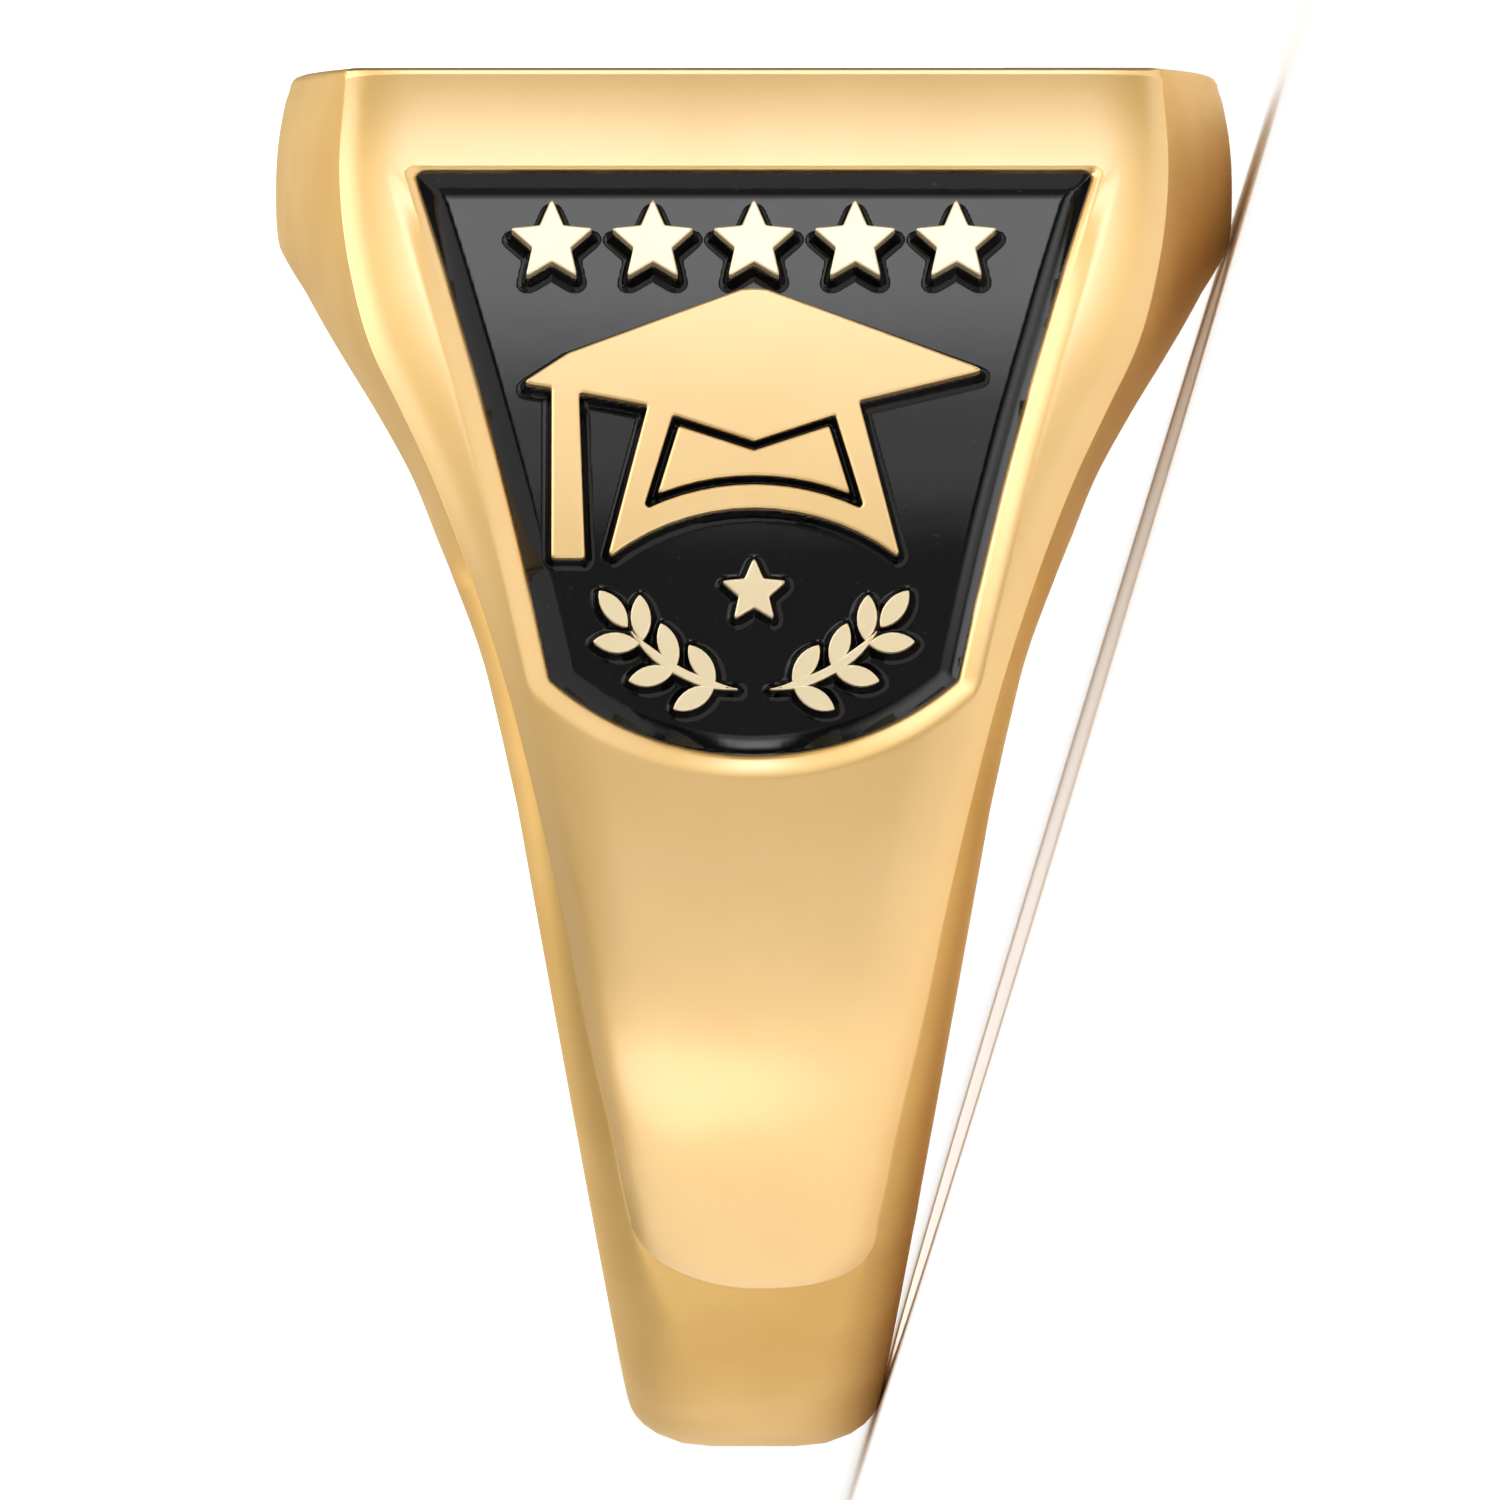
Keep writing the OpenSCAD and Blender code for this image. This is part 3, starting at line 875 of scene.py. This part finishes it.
def raise_figure(outline, hole=None, finish=LAPPED_PAINTED_HIGHLIGHT, top_round=CAP_ROUND):
    """A figure from below the floor of its field up to the lapped top, flat."""
    bm = bmesh.new()
    top_edges = []
    for line, way in ((outline, 1), (hole, -1)):
        if line is None:
            continue
        rows = [(0, -FIELD_DEPTH - FOOT_BELOW), (0, -HALF_WAY), (0, -top_round)]
        for turn in TOP_TURNS:
            rows.append((top_round * (1 - math.cos(turn)), -top_round * (1 - math.sin(turn))))
        lines = [level_line(bm, offset(line, -into * way), height) for into, height in rows]
        bridge(bm, lines, finish)
        top_edges += lines[-1]
        bmesh.ops.edgeloop_fill(bm, edges=lines[0], mat_nr=finish)
    bmesh.ops.triangle_fill(bm, edges=top_edges, use_beauty=True)
    for edge in top_edges:
        edge.smooth = False
    for face in bm.faces:
        face.material_index = finish
    low, high = min(v.co.y for v in bm.verts), max(v.co.y for v in bm.verts)
    for s in np.arange(low + LAP_STEP / 2, high, LAP_STEP):
        cut_at(bm, bm.verts[:] + bm.edges[:] + bm.faces[:], s)
    return bm


cap = flat_outline(cap_outline())
crown_hole = flat_outline(crown_face(), CROWN_ROUND)
crown_corners = np.delete(crown_face(), [3, -3], axis=0)
crown_island = rounded(offset(flat_points(crown_corners), -CROWN_LINE), CROWN_ROUND)
star_outlines = [flat_outline(points, STAR_CORNER) for points in stars]
leaf_outlines = [flat_outline(points, LEAF_CORNER) for points in laurel]
figure_outlines = star_outlines + leaf_outlines
raised = bmesh.new()
join(raised, raise_figure(cap, crown_hole), raise_figure(crown_island))
for outlines, corner in ((star_outlines, STAR_CORNER), (leaf_outlines, LEAF_CORNER)):
    for outline in outlines:
        join(raised, raise_figure(outline, finish=BRIGHT_CUT_PAINTED_HIGHLIGHT, top_round=SMALL_TOP * corner))
lay_grain(raised, [(v.co.x, v.co.y) for v in raised.verts])
wrap_mesh(raised)
add_turned_copy(raised)
bmesh.ops.recalc_face_normals(raised, faces=raised.faces)
if raised.calc_volume(signed=True) < 0:
    bmesh.ops.reverse_faces(raised, faces=raised.faces)
print(f"the figures have {len(raised.faces)} faces")

# %% [markdown]
# ## The enamel
#
# Cold enamel is a coloured resin that is dripped into the field and sets glossy. It lies level in the
# open parts and climbs wherever it wets the metal: widely along the panel's wall, less where the lip is
# rolled, and narrowly round each figure. Those slopes look away from the lights, which is why every
# figure stands in a black halo. A fine grid, clipped to the panel and lifted by its distance from the
# metal, gives that surface. It runs a little way into the metal, so that no gap shows.

# %% A sheet of enamel
# How far the enamel lies below the face in the field and in the crown's line, and how it is meshed.
FIELD_SINK, LINE_SINK = 0.42, 0.32
SHEET_STEP = 0.075
SHEET_THICK = 0.2
# How high it climbs at the panel's wall, at the wall's foot and at a figure, and how far out that reaches.
WALL_CLIMB, FOOT_CLIMB, WALL_REACH = 0.3, 0.2, 0.42
FIGURE_CLIMB, FIGURE_REACH = 0.26, 0.15
# How far its sheet runs into the metal, how far in there it still rises, and where its grid is finer.
UNDER_METAL, CREST = 0.09, 0.04
FINE_REACH = 0.22


def nearness(points, line, reach, solid):
    """From 0 at the given reach from an outline to 1 at it. Solid says which side of it is metal."""
    near = (1 - gap_to(points, line) / reach).clip(0)
    within = inside(points, line)
    return np.where(within if solid == "inside" else ~within, 1.0, near)


def climb(points):
    """How much higher than its level part the enamel stands at each point."""
    wall = nearness(points, offset(panel_loop, CREST), WALL_REACH + CREST, "outside")
    islands = [crown_island] + figure_outlines
    figures = [nearness(points, line, FIGURE_REACH, "inside") for line in islands]
    in_line = inside(points, crown_hole)
    figures.append(np.where(in_line, nearness(points, crown_hole, FIGURE_REACH, "outside"), 0))
    figures.append(np.where(in_line, 0, nearness(points, cap, FIGURE_REACH, "inside")))
    wall_climb = WALL_CLIMB - (WALL_CLIMB - FOOT_CLIMB) * (foot_share(points[:, 1]) / LIP_SIDE).clip(0, 1)
    return wall_climb * wall ** 2 + FIGURE_CLIMB * np.max(figures, axis=0) ** 2


def make_sheet(outline, sink, keep_out=None):
    """Enamel within an outline and a little way into the metal round it, closed underneath."""
    bm = bmesh.new()
    outline = offset(outline, UNDER_METAL)
    low, high = outline.min(0), outline.max(0)
    size, middle = high - low, (high + low) / 2
    cells = np.ceil(size / SHEET_STEP).astype(int)
    bmesh.ops.create_grid(bm, x_segments=int(cells[0]), y_segments=int(cells[1]), size=0.5)
    places = np.array([(v.co.x, v.co.y) for v in bm.verts]) * size + middle
    outside = ~inside(places, outline)
    if keep_out is not None:
        outside |= inside(places, offset(keep_out, UNDER_METAL))
    for vert, place in zip(bm.verts, places):
        vert.co = (*place, 0)
    bm.verts.index_update()
    left_over = [f for f in bm.faces if all(outside[v.index] for v in f.verts)]
    bmesh.ops.delete(bm, geom=left_over, context="FACES")
    bmesh.ops.delete(bm, geom=[v for v in bm.verts if not v.link_faces], context="VERTS")
    middles = np.array([f.calc_center_median()[:2] for f in bm.faces])
    edges_of_metal = [panel_loop, cap, crown_hole, crown_island] + figure_outlines
    gaps = np.min([gap_to(middles, line) for line in edges_of_metal], axis=0)
    fine = {e for f, gap in zip(bm.faces, gaps) if gap < FINE_REACH for e in f.edges}
    bmesh.ops.subdivide_edges(bm, edges=list(fine), cuts=1, use_grid_fill=True)
    flat = np.array([(v.co.x, v.co.y) for v in bm.verts])
    for vert, rise in zip(bm.verts, climb(flat)):
        vert.co.z = rise - sink
    for face in bm.faces:
        face.normal_update()
        if face.normal.z < 0:
            face.normal_flip()
    bmesh.ops.solidify(bm, geom=bm.faces[:], thickness=SHEET_THICK)
    lay_grain(bm, [(v.co.x, v.co.y) for v in bm.verts])
    wrap_mesh(bm)
    bmesh.ops.recalc_face_normals(bm, faces=bm.faces)
    return bm


field_sheet = make_sheet(panel_loop, FIELD_SINK, keep_out=crown_hole)
line_sheet = make_sheet(crown_hole, LINE_SINK)
print(f"enamel: {len(field_sheet.faces)} faces in the field, {len(line_sheet.faces)} in the crown's line")

# %% [markdown]
# ## Colours and nodes
#
# Colours are chosen as sRGB hex values, as a colour picker shows them, and Blender wants them linear.
# One small function does that, and one adds a node with its settings and links.

# %% Helpers for materials
def colour(hex_value):
    channels = [int(hex_value[i:i + 2], 16) / 255 for i in (1, 3, 5)]
    return tuple(c / 12.92 if c <= 0.04045 else ((c + 0.055) / 1.055) ** 2.4 for c in channels) + (1,)


def add(tree, kind, inputs=(), **settings):
    """Adds a node. Inputs maps a socket's name or number to a value or to another node's output."""
    made = tree.nodes.new(kind)
    for name, value in settings.items():
        setattr(made, name, value)
    for name, value in dict(inputs).items():
        if isinstance(value, bpy.types.NodeSocket):
            tree.links.new(value, made.inputs[name])
        else:
            made.inputs[name].default_value = value
    return made


def new_material(name):
    made = bpy.data.materials.new(name)
    made.use_nodes = True
    made.node_tree.nodes.clear()
    return made, made.node_tree


def brushed(tree, per_mm, length_mm):
    """Noise drawn out along the brushing. The map is in millimetres, across the lines and then along."""
    grain = add(tree, "ShaderNodeUVMap", uv_map="UVMap")
    drawn = add(tree, "ShaderNodeMapping", {0: grain.outputs[0], 3: (per_mm, 1 / length_mm, 1)},
                vector_type="POINT")
    return add(tree, "ShaderNodeTexNoise",
               {0: drawn.outputs[0], "Scale": 1.0, "Detail": 3.0, "Roughness": 0.6})


# %% [markdown]
# ## Gold plate, in four finishes
#
# All the metal is brass under gold plate. What changes is how it was finished. The faces, the table and
# the finger hole were buffed on a wheel, which leaves a soft shine and faint lines along the band. The
# side walls and the palm side were rubbed to a satin. The mortarboard was lapped flat, and the stars and
# the laurel were cut bright last of all. Their paler tints are painted highlights: the mortarboard is
# painted paler than the buffed plate, and the stars and the laurel palest of all. A clear lacquer lies over
# all but the satin, and its own shine is the white part of each highlight.
#
# Real buffing lines are a few hundredths of a millimetre apart, too fine to show here. They and the
# satin's grain are drawn coarser, at 8 to 14 to the millimetre.

# %% Gold finishes
CLOUDS_PER_MM = 0.35
# Clear lacquer is about 1.5. A higher figure was matched to the white in the ring's highlights.
LACQUER_IOR, LACQUER_ROUGH = 2.2, 0.22


def gold(name, tint, shade, rough, rough_spread, lines_per_mm, line_length, groove_mm, lacquer):
    """Plated metal with a share of clear lacquer over it.

    Tint and shade are its colours on and between the brush lines, and line_length is in millimetres.
    """
    made, tree = new_material(name)
    lines = brushed(tree, lines_per_mm, line_length)
    place = add(tree, "ShaderNodeTexCoord")
    clouds = add(tree, "ShaderNodeTexNoise",
                 {0: place.outputs["Object"], "Scale": CLOUDS_PER_MM / MM, "Detail": 2.0})
    mixed = add(tree, "ShaderNodeMath", {0: lines.outputs[0], 1: clouds.outputs[0]}, operation="MULTIPLY")
    tone = add(tree, "ShaderNodeMapRange", {0: mixed.outputs[0], 1: 0.1, 2: 0.4, 3: 0.0, 4: 1.0})
    hue = add(tree, "ShaderNodeMix", {0: tone.outputs[0], 6: colour(shade), 7: colour(tint)},
              data_type="RGBA")
    roughness = add(tree, "ShaderNodeMapRange", {0: lines.outputs[0], 1: 0.3, 2: 0.7,
                                                 3: rough - rough_spread, 4: rough + rough_spread})
    groove = add(tree, "ShaderNodeBump",
                 {"Strength": 1.0, "Distance": groove_mm * MM, "Height": lines.outputs[0]})
    metal = add(tree, "ShaderNodeBsdfPrincipled", {
        "Base Color": hue.outputs[2], "Metallic": 1.0, "Roughness": roughness.outputs[0],
        "Normal": groove.outputs[0], "Coat Weight": lacquer, "Coat IOR": LACQUER_IOR,
        "Coat Roughness": LACQUER_ROUGH,
    })
    add(tree, "ShaderNodeOutputMaterial", {0: metal.outputs[0]})
    return made


# Buffed gold plate, polished with a cloth wheel and lacquered: a soft, warm shine with faint lines in it.
buffed_gold = gold("buffed_gold_plate", "#FFD27E", "#F7C770", 0.42, 0.03, 9, 4, 0.001, 1.0)
# Satin gold plate, rubbed along the band with a fine abrasive and left bare: a close, short grain that
# mirrors nothing.
satin_gold = gold("satin_gold_plate", "#F2CC84", "#E2B76C", 0.55, 0.05, 14, 0.25, 0.0025, 0.0)
# Lapped gold plate, ground level on a flat wheel and lacquered: the mortarboard, even and smooth. Its tint,
# paler than the buffed plate's, is a painted highlight.
lapped_painted_highlight_gold = gold("lapped_gold_painted_highlight", "#FFDC9A", "#FCD48E", 0.5, 0.03, 8, 1.5, 0.0004, 0.6)
# Bright-cut gold plate, shaved with a polished tool and lacquered: the stars and the laurel. Their pale,
# creamy tint is a painted highlight.
bright_cut_painted_highlight_gold = gold("bright_cut_gold_painted_highlight", "#FFEFC8", "#FFEABC", 0.6, 0.03, 8, 1.5, 0.0004, 1.0)

# %% [markdown]
# ## Black enamel
#
# Cold enamel is an epoxy resin with black pigment. It is opaque, sets with a wet gloss, and shrinks a
# little, so its surface is faintly wavy and holds a few specks of dust.

# %% Enamel finish
WAVES_PER_MM, DUST_PER_MM = 0.9, 9
SKIN_MM = 0.006
ENAMEL_IOR = 1.4


def enamel_finish():
    made, tree = new_material("black_cold_enamel")
    place = add(tree, "ShaderNodeTexCoord")
    waves = add(tree, "ShaderNodeTexNoise",
                {0: place.outputs["Object"], "Scale": WAVES_PER_MM / MM, "Detail": 2.0})
    dust = add(tree, "ShaderNodeTexNoise",
               {0: place.outputs["Object"], "Scale": DUST_PER_MM / MM, "Detail": 1.0})
    speck = add(tree, "ShaderNodeMapRange", {0: dust.outputs[0], 1: 0.72, 2: 0.8, 3: 0.0, 4: 1.0})
    hue = add(tree, "ShaderNodeMix", {0: speck.outputs[0], 6: colour("#0B0A0B"), 7: colour("#2A2622")},
              data_type="RGBA")
    roughness = add(tree, "ShaderNodeMapRange", {0: waves.outputs[0], 1: 0.3, 2: 0.7, 3: 0.06, 4: 0.1})
    skin = add(tree, "ShaderNodeBump",
               {"Strength": 1.0, "Distance": SKIN_MM * MM, "Height": waves.outputs[0]})
    resin = add(tree, "ShaderNodeBsdfPrincipled", {
        "Base Color": hue.outputs[2], "Roughness": roughness.outputs[0], "IOR": ENAMEL_IOR,
        "Normal": skin.outputs[0],
    })
    add(tree, "ShaderNodeOutputMaterial", {0: resin.outputs[0]})
    return made


# Cold enamel, black epoxy that was dripped in to set: deep black, with a wet shine on its slopes.
black_enamel = enamel_finish()
print("materials:", ", ".join(m.name for m in bpy.data.materials))

# %% [markdown]
# ## Put the pieces in place
#
# Each piece is turned to the way the ring lies and scaled to metres inside its mesh, so its object stays
# at the origin. It rides on the ring's one body and stands for the solid that it replaces.

# %% Make the objects
def place_piece(bm, name, materials, slot, nodes):
    bmesh.ops.transform(bm, matrix=TO_REST, verts=bm.verts)
    mesh = bpy.data.meshes.new(name)
    bm.to_mesh(mesh)
    for face in mesh.polygons:
        face.use_smooth = True
    for material in materials:
        mesh.materials.append(material)
    piece = bpy.data.objects.new(name, mesh)
    bpy.context.scene.collection.objects.link(piece)
    if slot == "gold":
        weigh = piece.modifiers.new("even_shading", "WEIGHTED_NORMAL")
        weigh.mode = "FACE_AREA"
        weigh.keep_sharp = True
    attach(piece, ROOT)
    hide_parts(*nodes)
    mesh.calc_loop_triangles()
    print(f"{name}: {len(mesh.loop_triangles)} triangles")


def turned_copy(bm):
    copy = bm.copy()
    turn_over(copy, copy.verts)
    return copy


join(body, raised)
# The order is that of POLISHED, SATIN, LAPPED_PAINTED_HIGHLIGHT and BRIGHT_CUT_PAINTED_HIGHLIGHT.
golds = [buffed_gold, satin_gold, lapped_painted_highlight_gold, bright_cut_painted_highlight_gold]
place_piece(body, "ring_casting", golds, "gold", ["ring_body"])
for side, to_side in (("near", lambda bm: bm.copy()), ("far", turned_copy)):
    place_piece(to_side(field_sheet), f"enamel_{side}_field", [black_enamel], "enamel", [f"enamel_{side}"])
    place_piece(to_side(line_sheet), f"enamel_{side}_line", [black_enamel], "enamel",
                [f"enamel_{side}_crown_line"])

# %% [markdown]
# ## Floor, light and camera
#
# The ring lies on its side on a white table, and the camera lies on its side with it, so the picture
# shows the ring upright. It is far away with a long lens, a little above the table.
#
# Polished metal shows what it faces, so jewellery is lit by a white tent. This one is the world itself:
# each part of it is bright in some directions and fades out softly. A narrow, bright panel above the
# camera gives the shoulders their highlights and the enamel its grey, and the rest of the tent is
# dimmer. One small, low lamp gives the highlight on the shank.

# %% Camera
UP = TO_REST.to_3x3().normalized() @ Vector((1, 0, 0))
RIGHT = TO_REST.to_3x3().normalized() @ Vector((0, 0, -1))
TOWARD = Vector((0, -1, 0))
CAMERA_FAR = 0.5
AIM_UP, AIM_RIGHT = 0.99, -0.07
VIEW_ANGLE = 3.1075


def put(obj, place, x_axis, z_axis):
    """Puts an object at a place with its x and z axes in given directions."""
    y_axis = z_axis.cross(x_axis)
    obj.matrix_world = Matrix.Translation(place) @ Matrix((x_axis, y_axis, z_axis)).transposed().to_4x4()
    bpy.context.scene.collection.objects.link(obj)


lens = bpy.data.cameras.new("camera")
lens.angle = math.radians(VIEW_ANGLE)
lens.clip_start, lens.clip_end = 0.01, 20
camera = bpy.data.objects.new("camera", lens)
aim = (UP * AIM_UP + RIGHT * AIM_RIGHT) * MM
put(camera, aim + TOWARD * CAMERA_FAR, RIGHT, TOWARD)
bpy.context.scene.camera = camera
print("camera at", [round(c, 4) for c in camera.location])

# %% Floor
FLOOR_SIZE = 6.0
FLOOR_GAP = 0.01 * MM


def make_floor():
    bm = bmesh.new()
    bmesh.ops.create_grid(bm, x_segments=1, y_segments=1, size=FLOOR_SIZE / 2)
    bmesh.ops.translate(bm, verts=bm.verts, vec=(0, 0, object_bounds()[0].z - FLOOR_GAP))
    mesh = bpy.data.meshes.new("table_top")
    bm.to_mesh(mesh)
    made, tree = new_material("white_card")
    card = add(tree, "ShaderNodeBsdfPrincipled", {"Base Color": colour("#FAFAFA"), "Roughness": 1.0,
                                                  "Specular IOR Level": 0.0})
    add(tree, "ShaderNodeOutputMaterial", {0: card.outputs[0]})
    mesh.materials.append(made)
    floor = bpy.data.objects.new("table_top", mesh)
    bpy.context.scene.collection.objects.link(floor)


make_floor()

# %% The tent
tent = bpy.data.worlds.new("tent")
tent.use_nodes = True
tent_tree = tent.node_tree
tent_tree.nodes.clear()
look = add(tent_tree, "ShaderNodeTexCoord").outputs["Generated"]


def part_along(way):
    """How far a direction of the tent points along a given way, from -1 to 1."""
    dot = add(tent_tree, "ShaderNodeVectorMath", {0: look, 1: tuple(way)}, operation="DOT_PRODUCT")
    return dot.outputs["Value"]


def fade(value, dark, bright, strength=1.0):
    """Rises softly from 0 where the value is dark to strength where it is bright."""
    if dark > bright:
        flip = add(tent_tree, "ShaderNodeMath", {0: value, 1: -1.0}, operation="MULTIPLY")
        return fade(flip.outputs[0], -dark, -bright, strength)
    soft = add(tent_tree, "ShaderNodeMapRange", {0: value, 1: dark, 2: bright, 3: 0.0, 4: strength},
               interpolation_type="SMOOTHSTEP")
    return soft.outputs[0]


def combine(operation, *values):
    total = values[0]
    for value in values[1:]:
        total = add(tent_tree, "ShaderNodeMath", {0: total, 1: value}, operation=operation).outputs[0]
    return total


up, right, toward, skyward = (part_along(way) for way in (UP, RIGHT, TOWARD, Vector((0, 0, 1))))
leftward = add(tent_tree, "ShaderNodeMath", {0: right, 1: -1.0}, operation="MULTIPLY").outputs[0]
aside = add(tent_tree, "ShaderNodeMath", {0: right}, operation="ABSOLUTE").outputs[0]
front = fade(toward, 0.0, 0.3)
# The bright panel above the camera.
above = combine("ADD", fade(up, 0.40, 0.55, 1.6), fade(up, 0.6, 0.8, 3.3))
above = combine("MULTIPLY", above, fade(up, 0.972, 0.89), fade(aside, 0.10, 0.03), front)
# Dim light from the camera's own height, and a brighter wall of it at the left.
level = combine("MULTIPLY", fade(up, 0.55, 0.4), fade(up, -0.3, -0.1), fade(aside, 0.4, 0.2), front, 0.28)
left = combine("MULTIPLY", fade(leftward, 0.22, 0.42, 1.5), fade(leftward, 0.85, 0.65),
               fade(toward, -0.1, 0.2))
left = combine("MULTIPLY", left, combine("ADD", fade(up, 0.1, 0.5, 0.7), 0.3))
# Light from behind for the edges of the ring, a plain background, and a glow over the table for the floor.
behind = combine("MULTIPLY", fade(toward, 0.1, -0.3, 0.62), fade(up, -0.95, -0.7), fade(up, 0.45, 0.1))
backdrop = fade(toward, -0.985, -0.996, 0.8)
overhead = fade(skyward, 0.86, 0.94, 3.2)
# Softer wings on both sides of the bright panel.
wings = combine("MULTIPLY", fade(aside, 0.14, 0.28), fade(aside, 0.62, 0.5), fade(up, 0.35, 0.6, 0.85))
wings = combine("MULTIPLY", wings, fade(up, 0.95, 0.85), front)
light = combine("ADD", above, wings, level, left, behind, backdrop, overhead, 0.05)
cloth = add(tent_tree, "ShaderNodeBackground", {"Color": (1, 1, 1, 1), "Strength": light})
add(tent_tree, "ShaderNodeOutputWorld", {0: cloth.outputs[0]})
bpy.context.scene.world = tent
bpy.context.scene.view_settings.view_transform = "Standard"

# %% The low lamp
# It stands LAMP_FAR millimetres from the spot that it lights, and shines back along its way. The power of a
# glowing card is its brightness times pi times its area.
LAMP_FAR, LAMP_W, LAMP_H, LAMP_GLOW = 12, 6.4, 5.6, 0.95
lamp_way = (TOWARD * 0.629 - UP * 0.777).normalized()
lamp_spot = TOWARD * 10.5 - UP * 4.9 - RIGHT * 2.1
lamp_light = bpy.data.lights.new("low_lamp", "AREA")
lamp_light.shape = "ELLIPSE"
lamp_light.size, lamp_light.size_y = LAMP_W * MM, LAMP_H * MM
lamp_light.energy = LAMP_GLOW * math.pi * (math.pi / 4 * LAMP_W * LAMP_H) * MM ** 2
put(bpy.data.objects.new("low_lamp", lamp_light), (lamp_spot + lamp_way * LAMP_FAR) * MM, RIGHT, lamp_way)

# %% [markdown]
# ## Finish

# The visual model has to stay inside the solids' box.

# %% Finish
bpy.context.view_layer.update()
